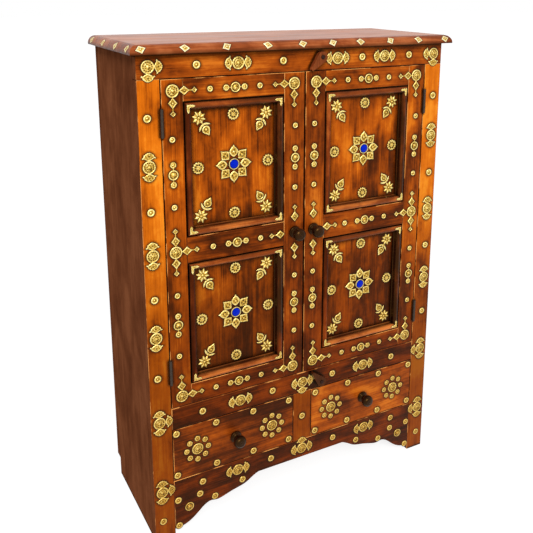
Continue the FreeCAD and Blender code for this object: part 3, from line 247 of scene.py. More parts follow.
# Every wood by name: the grain's axis, its colours and how it is finished
WOODS = {
    # Where low is under 1 the wood takes painted shade towards the floor, down to that share
    "stile": wood("front_wood_upright", "z", ORANGE, 0.3, 0.05, 1.0, low=0.36),
    "rail": wood("front_wood_level", "x", DEEP, 0.3, 0.02, 2.0),
    "low_rail": wood("front_wood_low", "x", DEEP, 0.3, -0.05, 3.0, low=0.6),
    "door_stile": wood("door_wood_upright", "z", AMBER, 0.3, 0.015, 4.0, low=0.4),
    "meeting_stile": wood("door_wood_meeting", "z", DEEP, 0.3, 0.0, 19.0, low=0.6),
    "door_rail": wood("door_wood_level", "x", DEEP, 0.3, 0.0, 5.0, low=0.6),
    "drawer_left": wood("drawer_wood_left", "x", DEEP, 0.28, -0.02, 6.0),
    "drawer_right": wood("drawer_wood_right", "x", DEEP, 0.28, 0.0, 7.0),
    # The panels take painted shade of a longer reach, deep inside their mouldings
    "panel_left": wood("panel_wood_left", "z", AMBER, 0.3, 0.01, 8.0, boards=0.083, low=0.24, crevice_shade=WELL_SHADE),
    "panel_right": wood("panel_wood_right", "z", AMBER, 0.3, 0.0, 9.0, boards=0.083, low=0.45, crevice_shade=WELL_SHADE),
    "side": wood("side_wood", "z", BROWN, 0.6, 0.0, 10.0, shine=0.0, sheen=RED_SHEEN, contrast=0.8),
    "top": wood("top_wood", "x", TOP, 0.34, 0.0, 11.0, shine=0.5, sheen=RED_SHEEN),
    # The nosing's darker wood is painted shade on the round, which turns away from the light above the top
    "nosing": wood("nosing_wood_shaded", "x", NOSING_SHADED, 0.3, 0.0, 18.0, shine=0.12),
    "inside": wood("inside_wood", "x", RAW, 0.6, 0.0, 12.0, shine=0.2, sheen=RED_SHEEN, contrast=0.7),
    "inside_upright": wood("inside_wood_upright", "z", RAW, 0.6, 0.0, 13.0, shine=0.2, sheen=RED_SHEEN,
                           contrast=0.7),
    # The four moulding runs are lit and shaded copies of one wood: painted highlight on the bottom run,
    # painted shade on the right run, a little on the top and left
    "moulding_bottom": wood("moulding_wood_bottom_lit", "x", MOULDED, 0.26, 0.05, 14.0, shine=0.5),
    "moulding_right": wood("moulding_wood_right_shaded", "z", SHADED, 0.26, 0.0, 20.0, shine=0.3, low=0.7),
    "moulding_top": wood("moulding_wood_top", "x", MOULDED, 0.26, -0.04, 21.0, shine=0.4, low=0.7),
    "moulding_left": wood("moulding_wood_left", "z", MOULDED, 0.34, -0.07, 15.0, shine=0.12, low=0.7),
    "knob": wood("knob_wood", "y", TURNED, 0.26, 0.0, 16.0, shine=0.3),
    "button": wood("button_wood", "z", BUTTON, 0.3, 0.0, 17.0, shine=0.3, low=0.16),
}


def arris(name, dark, light, highlight_from):
    """The eased edge of a board: painted shade with stretches of painted highlight."""
    net = Net(name)
    patch = net.span(net.noise(net.here, 14.0, 3.0, 0.6, 0.4), highlight_from, highlight_from + 0.12)
    net.set(Base_Color=net.mix(patch, dark, light), Roughness=0.35, Specular_IOR_Level=0.3,
            Specular_Tint=AMBER_SHEEN)
    return net.owner


def brass(name, pale):
    """Stamped antique brass: pale where rubbed, brown in the hollows, painted shade towards the floor."""
    net = Net(name)
    grain = net.noise(net.here, 400.0, 3.0, 0.65)
    cloud = net.noise(net.here, 45.0, 3.0, 0.5)
    level = net.plus(net.attribute("relief"), net.off_middle(grain, 1.7))
    level = net.plus(level, net.off_middle(cloud, 0.3))
    colour = net.ramp(level, [(0.0, srgb(24, 13, 2)), (0.2, srgb(92, 62, 9)), (0.42, srgb(172, 128, 34)),
                              (0.66, srgb(220, 180, 76)), (0.88, pale)])
    # Painted shade: the brass darkens towards the floor, by height
    height = net.parts(net.here)[2]
    shades = [net.span(height, 0.05, 0.7, part) for part in (0.74, 0.62, 0.42)]
    net.set(Base_Color=net.dimmed(colour, shades), Metallic=0.3, Specular_Tint=(1.0, 0.8, 0.4),
            Roughness=net.span(cloud, 0.3, 0.7, 0.28, 0.42))
    net.bump(grain, 0.1 * MM, 0.5)
    return net.owner


def grime():
    """The dark wax round each piece of brass, which also stands in for its painted contact shadow."""
    net = Net("dark_wax")
    spread = net.noise(net.here, 300.0, 2.0, 0.5)
    net.set(Base_Color=net.mix(spread, srgb(22, 8, 2), srgb(54, 22, 6)), Roughness=0.6,
            Specular_IOR_Level=0.15)
    return net.owner


def stone():
    """Polished blue glass, with painted shade darkening it towards its rim."""
    net = Net("blue_stone")
    colour = net.mix(net.noise(net.here, 160.0, 3.0, 0.5), srgb(0, 18, 160), srgb(4, 40, 205))
    net.set(Base_Color=net.mix(net.attribute("relief"), srgb(0, 4, 60), colour), Roughness=0.2,
            Specular_IOR_Level=0.3, Specular_Tint=(0.1, 0.25, 1.0))
    return net.owner


def steel():
    """Blackened hinge steel, worn a little."""
    net = Net("black_steel")
    cloud = net.noise(net.here, 240.0, 4.0, 0.6)
    net.set(Base_Color=net.mix(cloud, srgb(16, 12, 10), srgb(60, 50, 42)), Metallic=0.2,
            Specular_Tint=(1.0, 0.8, 0.65), Roughness=net.span(cloud, 0.3, 0.7, 0.36, 0.6))
    net.bump(cloud, 0.15 * MM, 0.7)
    return net.owner


# Eased edges facing the light take the painted highlight, the rest take the painted shade
LIT_ARRIS = arris("arris_painted_highlight", srgb(104, 42, 10), srgb(232, 154, 80), 0.46)
SHADED_ARRIS = arris("arris_painted_shade", srgb(20, 7, 3), srgb(96, 40, 12), 0.6)
# The nosing's diamonds take a paler brass, a painted highlight where they face the light above
BRASS, LIT_BRASS = brass("stamped_brass", srgb(252, 234, 154)), brass("brass_painted_highlight", srgb(248, 238, 192))
GRIME, STONE, STEEL = grime(), stone(), steel()


# Meshes


JOIN = 1e-6
BODY_OF = {node: body for body, members in frame["record"]["behaviour"]["bodies"].items()
           for node in members}


def add_object(name, data):
    thing = bpy.data.objects.new(name, data)
    bpy.context.scene.collection.objects.link(thing)
    return thing


def put(thing, node, instead=True):
    """Lets a piece ride with a node's body, in that node's place or beside it."""
    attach(thing, BODY_OF[node])
    if instead:
        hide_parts(node)


def make_object(name, verts, faces, materials, smooth, field=None, marks=None, layer="wax_and_shade", outward=False):
    """A new object; field is each vertex's wax and painted shade, or its relief,
    marks each face's material, smooth in degrees.
    """
    data = bpy.data.meshes.new(name)
    data.from_pydata(verts, [], faces)
    for item in materials:
        data.materials.append(item)
    if marks is not None:
        data.polygons.foreach_set("material_index", marks)
        data.attributes.new(layer, "FLOAT", "POINT").data.foreach_set("value", field)
    data.validate()
    if outward:
        mesh = bmesh.new()
        mesh.from_mesh(data)
        bmesh.ops.recalc_face_normals(mesh, faces=mesh.faces)
        mesh.to_mesh(data)
        mesh.free()
    data.shade_smooth()
    data.set_sharp_from_angle(angle=math.radians(smooth))
    return add_object(name, data)


def band(inner, outer, count):
    """The faces between two closed rows of vertices, each given by its first vertex."""
    return [(inner + k, outer + k, outer + (k + 1) % count, inner + (k + 1) % count) for k in range(count)]


def fan(middle, rim, count, back=False):
    """The faces from one vertex to a closed row, turned over if they are at the back."""
    return [(middle, rim + (k + back) % count, rim + (k + 1 - back) % count) for k in range(count)]


def node_mesh(node, flat=None):
    """A node's mesh to work on; faces that turn by less than flat degrees become one."""
    mesh = bmesh.new()
    mesh.from_mesh(NODES[node].data)
    bmesh.ops.remove_doubles(mesh, verts=mesh.verts, dist=JOIN)
    if flat is not None:
        bmesh.ops.dissolve_limit(mesh, angle_limit=math.radians(flat), verts=mesh.verts, edges=mesh.edges)
    return mesh


class Solid:
    """A solid's corners, middle and size in millimetres, and its vertex furthest forward."""

    def __init__(self, points):
        self.low, self.high = points.min(0), points.max(0)
        self.middle = (self.low + self.high) / 2
        self.size = (self.high - self.low) / MM
        self.crown = points[points[:, 1].argmin()]


def islands(node):
    """The separate solids of a node, and the Y of the face that they lie on."""
    mesh = node_mesh(node)
    seen, found = set(), []
    for start in mesh.verts:
        if start in seen:
            continue
        stack, members = [start], []
        seen.add(start)
        while stack:
            vert = stack.pop()
            members.append(vert.co[:])
            for edge in vert.link_edges:
                other = edge.other_vert(vert)
                if other not in seen:
                    seen.add(other)
                    stack.append(other)
        found.append(Solid(np.array(members)))
    mesh.free()
    return found, max(solid.high[1] for solid in found)


def outer_corners(solids):
    return np.min([solid.low for solid in solids], axis=0), np.max([solid.high for solid in solids], axis=0)


def eased_object(mesh, edges, width, segments, clamp, node, ending, materials, colour=None):
    """A node's mesh with some edges rounded over, its flat faces flat, as a new object."""
    eased = bmesh.ops.bevel(mesh, geom=edges, offset=width, segments=segments, profile=0.5, affect="EDGES",
                            clamp_overlap=clamp)
    rounded = set(eased["faces"])
    for face in mesh.faces:
        face.normal_update()
        face.smooth = face in rounded
        if colour:
            face.material_index = colour(face, face.smooth)
    data = bpy.data.meshes.new(node + ending)
    mesh.to_mesh(data)
    mesh.free()
    for item in materials:
        data.materials.append(item)
    return add_object(node + ending, data)


BODY_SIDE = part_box("side_panel_right")[1][0]
ON_FACE = 1e-5


def softened(node, width, material, edged=True):
    """A node's boards with their long arrises eased, in its place."""
    mesh = node_mesh(node, 0.5)
    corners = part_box(node)
    chosen = []
    for edge in mesh.edges:
        on = sum(all(abs(vert.co[axis] - corner[axis]) < ON_FACE for vert in edge.verts)
                 for axis in range(3) for corner in corners)
        if on >= 2 and edge.calc_length() > 3 * width:
            chosen.append(edge)

    # Outer faces take the side's wood. Eased faces that turn left or up take the painted highlight, the
    # others the painted shade
    def colour(face, rounded):
        outer = abs(face.calc_center_median().x) > BODY_SIDE - width
        if outer and (abs(face.normal.x) > 0.9 or (rounded and abs(face.normal.z) > 0.2)):
            return 3
        if rounded and edged:
            return 1 if face.normal.x < -0.2 or face.normal.z > 0.2 else 2
        return 0

    thing = eased_object(mesh, chosen, width, 2, False, node, "_eased",
                         (material, LIT_ARRIS, SHADED_ARRIS, WOODS["side"]), colour)
    put(thing, node)


def dress(material, *nodes):
    for node in nodes:
        data = NODES[node].data
        data.materials.clear()
        data.materials.append(material)


# Stamped brass: plates in millimetres, X across, Y up, Z out of the wood


class Batch:
    """Many plates gathered into one mesh, each vertex with its relief."""

    def __init__(self):
        self.verts, self.faces, self.relief, self.marks, self.placed = [], [], [], [], []
        self.count = 0

    def add(self, plate, x, z, face_y, angle=0.0, mark=0):
        verts, faces, relief = plate
        turn = math.radians(angle)
        cos, sin = math.cos(turn), math.sin(turn)
        world = np.empty_like(verts)
        world[:, 0] = x + (verts[:, 0] * cos - verts[:, 1] * sin) * MM
        world[:, 1] = face_y - verts[:, 2] * MM
        world[:, 2] = z + (verts[:, 0] * sin + verts[:, 1] * cos) * MM
        self.take(world, faces, relief, mark)

    def take(self, world, faces, relief, mark=0):
        self.verts.append(world)
        self.relief.append(relief)
        self.faces.extend([tuple(index + self.count for index in face) for face in faces])
        self.marks.extend([mark] * len(faces))
        self.count += len(world)

    def finish(self, name, materials, layer="relief"):
        verts, field = np.concatenate(self.verts).tolist(), np.concatenate(self.relief)
        return make_object(name, verts, self.faces, materials, 40, field, self.marks, layer)


def bump(distance, width):
    """A smooth rise from 0 at width away to 1 at no distance."""
    share = np.clip(1 - (distance / width) ** 2, 0, 1)
    return share * share


def spots(x, y, ring, count, turn=0.0):
    """The distance to the nearest of some points evenly spaced on a circle."""
    step = 2 * math.pi / count
    off = (np.mod(np.arctan2(y, x) / step + turn + 0.5, 1) - 0.5) * step
    r = np.hypot(x, y)
    return np.hypot(r * np.cos(off) - ring, r * np.sin(off))


def plate(outline, shape, rings, centre=(0.0, 0.0)):
    """A closed plate over a star-shaped outline; shape(x, y, rho) gives its height and how pale it is."""
    outline = np.asarray(outline, float)
    middle = np.asarray(centre, float)
    count = len(outline)
    rho = (np.arange(1, rings + 1) / rings) ** 0.9
    grid = middle + rho[:, None, None] * (outline - middle)[None]
    top, pale = shape(grid[..., 0], grid[..., 1], np.broadcast_to(rho[:, None], grid.shape[:2]))
    top_middle, pale_middle = shape(np.array([middle[0]]), np.array([middle[1]]), np.array([0.0]))
    verts = np.concatenate((
        np.column_stack((middle[None], top_middle)),
        np.concatenate((grid, top[..., None]), axis=2).reshape(-1, 3),
        np.column_stack((outline, np.zeros(count))),
        np.array([[*middle, 0.0]])))
    base = 1 + rings * count
    faces = fan(0, 1, count)
    for start in range(1, base, count):
        faces += band(start, start + count, count)
    faces += fan(base + count, base, count, back=True)
    relief = np.concatenate((pale_middle, np.broadcast_to(pale, grid.shape[:2]).ravel(), np.zeros(count + 1)))
    return verts, faces, np.clip(relief, 0, 1)


def around(count, reach):
    """An outline whose reach from the middle is worked out for each angle."""
    angle = np.linspace(0, 2 * math.pi, count, endpoint=False)
    far = reach(angle)
    return np.column_stack((far * np.sin(angle), far * np.cos(angle)))[::-1]


def lobed(radius, count, lobes=0, depth=0.0):
    return around(count, lambda angle: radius - depth * (0.5 - 0.5 * np.cos(lobes * angle)))


def spread_points(points, steps=4):
    """More points along a run of straight lines, with its last point."""
    spread = []
    for (ax, ay), (bx, by) in zip(points, points[1:]):
        spread += [(ax + (bx - ax) * k / steps, ay + (by - ay) * k / steps) for k in range(steps)]
    return spread + [points[-1]]


def mirrored(right):
    """A whole outline from its right half, drawn upwards."""
    return right + [(-x, y) for x, y in reversed(right) if x > 0]


def diamond_outline(reach, hollow=0.04, count=12):
    """Four points with hollow sides."""
    points = []
    for corner in range(4):
        start, end = corner * math.pi / 2, (corner + 1) * math.pi / 2
        a = np.array([math.sin(start), math.cos(start)]) * reach
        b = np.array([math.sin(end), math.cos(end)]) * reach
        for share in np.arange(count) / count:
            points.append((a + (b - a) * share) * (1 - hollow * math.sin(math.pi * share)))
    return np.array(points)[::-1]


def edge_drop(rho, share=0.06, depth=0.55):
    """The rolled edge of a stamping, as a fall towards the outline."""
    return depth * np.clip((rho - (1 - share)) / share, 0, 1) ** 2


def rimmed(rho, share=0.12, depth=0.5, width=0.13):
    """The height of a thin stamping with a rolled edge and a raised rim."""
    return 0.9 - edge_drop(rho, share, depth) + 0.5 * bump(rho - 0.84, width)


def spot(x, y, at_x, at_y, width):
    return bump(np.hypot(x - at_x, y - at_y), width)


PLATES = {}


def stamping(name, outline, rings, centre=(0.0, 0.0)):
    """Keeps under a name the plate that the shape below it gives over an outline."""
    def keep(shape):
        PLATES[name] = plate(outline, shape, rings, centre)
        return shape

    return keep


@stamping("disc", lobed(14.5, 120), 22)
def disc(x, y, rho):
    r = np.hypot(x, y)
    far, near = spots(x, y, 9.8, 13), spots(x, y, 5.2, 6, 0.3)
    h = 1.0 - edge_drop(rho) + 0.7 * bump(r - 12.9, 1.5) + 0.35 * bump(r - 7.4, 0.9)
    t = 0.6 + 0.3 * bump(r - 13.2, 1.5) - 0.75 * bump(far, 2.5) - 0.6 * bump(near, 2.1)
    # Painted light across the disc: lighter to the upper left, painted shade to the lower right
    t += 0.12 * bump(r - 7.4, 1.0) - 0.35 * spot(x, y, 3.4, -4.4, 5.0) + 0.2 * spot(x, y, -5.0, 5.0, 6.0)
    # A painted highlight by the middle
    return h + 1.2 * bump(r, 3.0) - 0.3 * bump(far, 2.2), t + 0.5 * spot(x, y, -0.4, 0.6, 1.8)


@stamping("rosette", lobed(14.0, 120, 13, 1.9), 24)
def rosette(x, y, rho):
    r = np.hypot(x, y)
    hole, notch = spots(x, y, 7.2, 8), spots(x, y, 12.6, 13, 0.5)
    h = 1.2 - edge_drop(rho, 0.05) + 0.5 * bump(r - 11.4, 1.9) - 0.9 * bump(hole, 2.4)
    h += 0.4 * bump(r - 4.6, 0.9) + 0.9 * bump(r, 2.4)
    t = 0.68 + 0.16 * bump(r - 12.0, 1.6) - 0.14 * bump(notch, 1.7)
    t -= 0.4 * bump(spots(x, y, 2.4, 5), 1.3) + 2.6 * bump(hole, 2.9)
    return np.maximum(h, 0.12), t


def stud_plate(radius):
    def shape(x, y, rho):
        h = 0.9 - edge_drop(rho, 0.1, 0.5) + 0.6 * bump(rho - 0.78, 0.2) - 0.3 * bump(rho - 0.52, 0.18)
        # A painted highlight to the upper left of the dome
        t = 0.38 + 0.54 * bump(rho - 0.8, 0.34) + 0.55 * spot(x / radius, y / radius, -0.14, 0.16, 0.22)
        return h + 1.3 * bump(rho, 0.36), t

    return plate(lobed(radius, 40), shape, 14)


BEAD = 7.3


@stamping("bead", lobed(BEAD, 60, 10, 0.6), 14)
def bead(x, y, rho):
    wave = np.cos(10 * np.arctan2(y, x))
    h = 0.9 - edge_drop(rho, 0.1, 0.5) + 0.6 * bump(rho - 0.78, 0.2) * (0.6 + 0.4 * wave)
    t = 0.54 + 0.4 * bump(rho - 0.82, 0.3) * (0.7 + 0.3 * wave) - 0.12 * bump(rho - 0.36, 0.26)
    # A painted highlight to the upper left of the dome
    return h + 1.2 * bump(rho, 0.4), t + 0.5 * spot(x / BEAD, y / BEAD, -0.14, 0.16, 0.24)


@stamping("dome", lobed(11.5, 90), 22)
def dome(x, y, rho):
    h = 1.0 - edge_drop(rho, 0.08) + 0.5 * bump(rho - 0.88, 0.12) - 0.35 * bump(rho - 0.7, 0.08)
    t = 0.5 + 0.42 * bump(rho - 0.88, 0.16) - 0.55 * bump(rho - 0.68, 0.12)
    # A painted highlight to the upper left of the dome, and a dark painted reflection to its lower right
    t += 0.6 * spot(x, y, -1.8, 2.4, 2.6) - 0.5 * spot(x, y, 1.2, -3.0, 3.4)
    return h + 3.6 * np.sqrt(np.clip(1 - (rho / 0.62) ** 2, 0, 1)), t


def diamond_plate(reach, boss=3.2, stretch=1.0, lift=0.0):
    """A diamond; stretch makes it taller and as much narrower, lift paler."""
    def shape(x, y, rho):
        r = np.hypot(x, y)
        # Painted shade on the lower right half, and a painted highlight by the boss
        t = 0.52 + lift - 0.12 * np.clip((x - y) / reach, 0, 1) + 0.35 * bump(rho - 0.86, 0.24)
        t += 0.3 * spot(x, y, -0.6, 0.8, 1.5) - 0.45 * bump(r - 0.9 * boss, 1.2)
        t -= 0.3 * bump(spots(x, y, 0.52 * reach, 4), 1.2)
        return rimmed(rho, width=0.14) + 1.1 * bump(r, boss), t

    return plate(diamond_outline(reach) * (2 - stretch, stretch), shape, 14)


def bar_plate(start, end, width=2.2):
    half = width / 2
    outline = [(half, start), (half, end), (-half, end), (-half, start)]
    return plate(outline, lambda x, y, rho: (0.8 - edge_drop(rho, 0.3, 0.4), 0.6 + 0 * x), 3,
                 (0, (start + end) / 2))


# The right half of a bell with two thin horns above a disc, its far edge lobed
WING = [(1.8, 14.2), (5.0, 16.0), (8.2, 17.6), (10.4, 19.2), (12.6, 19.4), (14.4, 18.9), (15.6, 20.0),
        (14.9, 21.6), (12.8, 22.3), (11.6, 23.8), (11.5, 26.0), (10.4, 27.8), (8.6, 28.0), (7.8, 29.2),
        (6.2, 30.8), (4.2, 30.6), (3.2, 31.9), (1.4, 32.5), (0.0, 31.6)]


@stamping("wing", mirrored(WING), 12, (0, 24.2))
def wing(x, y, rho):
    r = np.hypot(x, y - 24.2)
    t = 0.46 + 0.42 * bump(rho - 0.88, 0.22) - 0.7 * bump(r, 2.1) + 0.25 * bump(r - 3.5, 1.1)
    t += 0.2 * np.cos(13 * np.arctan2(y - 15, x)) * bump(rho - 0.55, 0.3)
    return (rimmed(rho, depth=0.4, width=0.16) + 0.4 * bump(r - 3.6, 1.0),
            t + 0.5 * np.clip((np.abs(x) - 11) / 2, 0, 1))


def engraved(x, y, rho, middle, ring, turn):
    """A petal's height, and how pale its rim and its broken ring are."""
    angle, r = np.arctan2(y - middle, x), np.hypot(x, y - middle)
    broken = bump(r - ring, 2.0) * (0.5 + 0.5 * np.cos(4 * angle + turn))
    return rimmed(rho) + 1.3 * bump(r, 3.0), 0.3 * bump(rho - 0.88, 0.22) - 0.75 * broken


# Right halves of a full leaf with a pinched tip, a square petal set cornerwise and a pointed bud
HALF, ROOT, WAIST = 10.9, 16.2, 28.4
PETAL = [(0.0, ROOT), (HALF * 0.5, ROOT + 3.6), (HALF * 0.86, ROOT + 8.0), (HALF, WAIST),
         (HALF * 0.9, WAIST + 4.6), (HALF * 0.58, WAIST + 9.2), (HALF * 0.24, WAIST + 12.6), (0.0, 45.4)]
SQUARE = 29.6
CORNER_PETAL = [(0.0, SQUARE - 13.4), (6.6, SQUARE - 7.2), (12.9, SQUARE - 0.4), (8.4, SQUARE + 6.0),
                (3.4, SQUARE + 11.0), (0.0, SQUARE + 16.4)]
BUD = [(0.0, 23.6), (5.2, 24.8), (9.0, 28.6), (9.8, 33.2), (7.8, 38.0), (3.6, 43.2), (0.0, 49.0)]


@stamping("petal", mirrored(spread_points(PETAL)), 14, (0, WAIST + 0.5))
def petal(x, y, rho):
    h, t = engraved(x, y, rho, WAIST, 4.6, 1.0)
    # A painted highlight on the boss's upper left, and a dark spot above the boss
    return h, 0.55 + t + 0.45 * spot(x, y, -0.8, WAIST + 1.0, 1.9) - 0.4 * spot(x, y, 1.6, WAIST + 8.0, 1.7)


@stamping("corner_petal", mirrored(spread_points(CORNER_PETAL)), 14, (0, SQUARE))
def corner_petal(x, y, rho):
    h, t = engraved(x, y, rho, SQUARE, 4.8, 2.6)
    # A painted highlight by the boss
    return h, 0.52 + t + 0.45 * spot(x, y, 0.8, SQUARE - 0.8, 2.0)


@stamping("bud", mirrored(spread_points(BUD)), 16, (0, 32.0))
def bud(x, y, rho):
    r = np.hypot(x, y - 32.0)
    t = 0.5 + 0.4 * bump(rho - 0.88, 0.2) - 0.5 * bump(r - 4.0, 1.3) + 0.35 * bump(r, 2.0)
    return (rimmed(rho, 0.1, width=0.12) + 1.4 * bump(r, 3.4),
            t - 0.3 * bump(x, 0.9) * np.clip((y - 37) / 4, 0, 1))


@stamping("collar", lobed(13.0, 120), 30)
def collar(x, y, rho):
    """The thin rim that holds the stone."""
    r = np.hypot(x, y)
    rim = np.clip((r - 11.3) / 0.4, 0, 1) * np.clip((13.1 - r) / 0.5, 0, 1) ** 0.6
    return 1.2 + 1.6 * rim, 0.3 + 0.65 * (r > 11.1)


def star_reach(angle):
    """Eight long rays with short ones between them."""
    return 10.0 + 6.5 * np.abs(np.cos(4 * angle)) ** 3 + 2.4 * np.abs(np.sin(4 * angle)) ** 7


@stamping("star", around(128, star_reach), 16)
def star(x, y, rho):
    ray = np.abs(np.cos(4 * np.arctan2(y, x)))
    r = np.hypot(x, y)
    h = 0.7 - edge_drop(rho, 0.15, 0.5) + 1.4 * ray ** 2.0 * bump(rho - 0.55, 0.5) + 1.6 * bump(r, 2.4)
    t = 0.38 + 0.62 * ray ** 2.4 * bump(rho - 0.62, 0.55) - 0.4 * bump(r - 4.5, 1.2) + 0.5 * bump(r, 3.0)
    return h, t


def leaf_plate(side):
    """One of the two spear leaves behind the bud."""
    outline = [(0.4, 17.4), (4.0, 17.2), (8.5, 18.8), (12.6, 22.2), (15.8, 27.6), (11.0, 25.6), (7.0, 23.2),
               (3.4, 21.4), (0.4, 20.2)]
    outline = [(side * x, y) for x, y in outline]

    def shape(x, y, rho):
        return 0.9 - edge_drop(rho, 0.2, 0.5) + 0.5 * bump(rho, 0.5), 0.86 - 0.4 * bump(rho, 0.35)

    return plate(outline if side < 0 else outline[::-1], shape, 8, (side * 6.6, 20.6))


# An angle of two engraved leaves, its outer corner at the origin: the outline up to its diagonal
BRACKET = [(0.0, 0.0), (5.5, 0.5), (8.5, 0.0), (11.0, 0.8), (13.5, 0.4), (16.5, 1.6), (20.0, 3.4),
           (16.5, 5.4), (13.5, 6.4), (11.0, 5.4), (8.5, 6.5), (6.5, 6.5)]


@stamping("bracket", ([(y, x) for x, y in BRACKET[1:-1]] + BRACKET[::-1]), 8, (3.4, 3.4))
def bracket(x, y, rho):
    vein = bump(np.minimum(np.abs(x - 3.4), np.abs(y - 3.4)), 1.4)
    return (1.0 - edge_drop(rho, 0.15, 0.4) + 0.4 * vein,
            0.74 + 0.25 * bump(rho - 0.9, 0.2) - 0.4 * vein * (0.5 + 0.5 * np.cos((x + y) * 1.6)))


PLATES.update(
    stud=stud_plate(8.5), small_stud=stud_plate(6.6), diamond=diamond_plate(11.5, 3.2, 1.1),
    tip=diamond_plate(6.6, 1.7, lift=0.1), leaf_left=leaf_plate(-1), leaf_right=leaf_plate(1))


def footprint(item):
    """A plate's middle on the wood, and the way from there to each point of its outline."""
    points = item[0]
    low = points[points[:, 2] == 0][:, :2]
    return low[-1], low[:-1] - low[-1]


def flat_shadow(item, grow=1.5):
    """The thin dark skirt round a plate, from its outline: wax, and a painted contact shadow."""
    middle, away = footprint(item)
    length = np.linalg.norm(away, axis=1, keepdims=True)
    outline = middle + away * (1 + grow / np.maximum(length, 1.0))
    return plate(outline, lambda x, y, rho: (0.1 + 0 * x, 0 * x), 1, middle)


def polar(item):
    """A plate's middle, and its outline as angles and distances from there."""
    middle, away = footprint(item)
    return middle, np.arctan2(away[:, 1], away[:, 0]), np.hypot(away[:, 0], away[:, 1])


SHADOWS = {name: flat_shadow(item) for name, item in PLATES.items()}
POLAR = {name: polar(item) for name, item in PLATES.items()}


def stamp(batch, name, x, z, face_y, angle=0.0, along=0.0):
    """One plate and its dark skirt; along moves it up its own Y axis first."""
    turn = math.radians(angle)
    x, z = x - math.sin(turn) * along * MM, z + math.cos(turn) * along * MM
    batch.placed.append((name, x, z, angle))
    batch.add(PLATES[name], x, z, face_y, angle)
    batch.add(SHADOWS[name], x, z, face_y, angle, mark=1)


def link(batch, x, z, face_y, angle, start, end):
    """A thin bar and its dark skirt between two stampings."""
    bar = bar_plate(start, end)
    batch.add(bar, x, z, face_y, angle)
    batch.add(flat_shadow(bar, 0.9), x, z, face_y, angle, mark=1)


# Waxed skins, in millimetres: how far the wax reaches and the rings it is drawn on, the margin to a board's
# edge, how near another stamping counts, and each skin's height, its outer edge's and its base's
WAX_REACH = 7.5
WAX_RINGS = (-2.0, 0.3, 1.5, 3.0, 5.0, WAX_REACH)
WAX_SPOKES, WAX_MARGIN, WAX_NEIGHBOURS = 36, 0.4, 90.0
SKIN, SKIN_STEP, SKIN_EDGE, SKIN_BASE = 0.05, 0.0004, 0.02, -0.2
LEAST_SQUEEZE = 0.2
BOARD_FINISH = {"face_stile_left": "stile", "face_stile_right": "stile", "face_rail_top": "rail",
                "face_rail_middle": "low_rail", "face_rail_bottom": "low_rail", "drawer_divider": "stile"}


def beyond(name, x, z, angle, points):
    """How far points in millimetres lie outside a stamping."""
    middle, angles, radii = POLAR[name]
    turn = math.radians(angle)
    dx, dz = points[:, 0] - x / MM, points[:, 1] - z / MM
    u = dx * math.cos(turn) + dz * math.sin(turn) - middle[0]
    v = dz * math.cos(turn) - dx * math.sin(turn) - middle[1]
    return np.hypot(u, v) - np.interp(np.arctan2(v, u), angles, radii, period=2 * math.pi)


def wax_film(film, placed, number, face_y, low, high, mark):
    """A skin of the board's own wood, waxed dark round a stamping, kept inside its board."""
    name, x, z, angle = placed[number]
    (mx, mz), angles, radii = POLAR[name]
    turn = math.radians(angle)
    cos, sin = math.cos(turn), math.sin(turn)
    bearings = np.linspace(0, 2 * math.pi, WAX_SPOKES, endpoint=False)
    local = np.interp(bearings - turn, angles, radii, period=2 * math.pi)
    centre = np.array([x / MM + mx * cos - mz * sin, z / MM + mx * sin + mz * cos])
    way = np.column_stack((np.cos(bearings), np.sin(bearings)))
    room = np.where(way > 0, high - centre, centre - low) / np.maximum(np.abs(way), 1e-9)
    squeeze = np.minimum(1, (room.min(1) - WAX_MARGIN) / (local + WAX_REACH))
    if squeeze.min() < LEAST_SQUEEZE:
        return
    rings = [centre + way * ((local + grow) * squeeze)[:, None] for grow in WAX_RINGS]
    flat = np.concatenate([centre[None]] + rings)
    near = [item for item in placed if math.hypot(item[1] - x, item[2] - z) < WAX_NEIGHBOURS * MM]
    away = np.min([np.maximum(beyond(*item, flat), 0) for item in near], axis=0)
    wax_and_shade = np.clip(1 - away / WAX_REACH, 0, 1) ** 1.25
    count, last = len(bearings), len(flat)
    height = np.full(last, SKIN + SKIN_STEP * number)
    height[-count:] = SKIN_EDGE
    plan = np.concatenate((flat, rings[-1], centre[None]))
    height = np.concatenate((height, np.full(count + 1, SKIN_BASE)))
    faces = fan(0, 1, count)
    for start in range(1, last, count):
        faces += band(start, start + count, count)
    faces += fan(last + count, last, count, back=True)
    world = np.column_stack((plan[:, 0] * MM, face_y - height * MM, plan[:, 1] * MM))
    film.take(world, faces, np.concatenate((wax_and_shade, wax_and_shade[-count:], [0.0])), mark)


def wax_films(node, placed, face_y, boards):
    """The waxed skins of every stamping on some boards, each board given by its corners and wood."""
    film, woods = Batch(), []
    for number, (_, x, z, _) in enumerate(placed):
        for low, high, finish in boards:
            if low[0] < x / MM < high[0] and low[1] < z / MM < high[1]:
                if finish not in woods:
                    woods.append(finish)
                wax_film(film, placed, number, face_y, low, high, woods.index(finish))
    put(film.finish(node + "_wax", [WOODS[finish] for finish in woods], "wax_and_shade"), node, instead=False)


# An arm's bars, diamond and tip, in millimetres out from its disc's middle
ARM_ROOT, ARM_DIAMOND, ARM_BAR, ARM_TIP = (13.6, 17.0), 26.5, (38.0, 45.0), 50.0


def arm_stamps(batch, x, z, y, angle, shift=0.0, rooted=True):
    """A diamond and a smaller one at its tip on a thin bar, out from a disc or a knob."""
    if rooted:
        link(batch, x, z, y, angle, *ARM_ROOT)
    stamp(batch, "diamond", x, z, y, angle, along=ARM_DIAMOND + shift)
    link(batch, x, z, y, angle, ARM_BAR[0] + shift, ARM_BAR[1] + shift)
    stamp(batch, "tip", x, z, y, angle, along=ARM_TIP + shift)


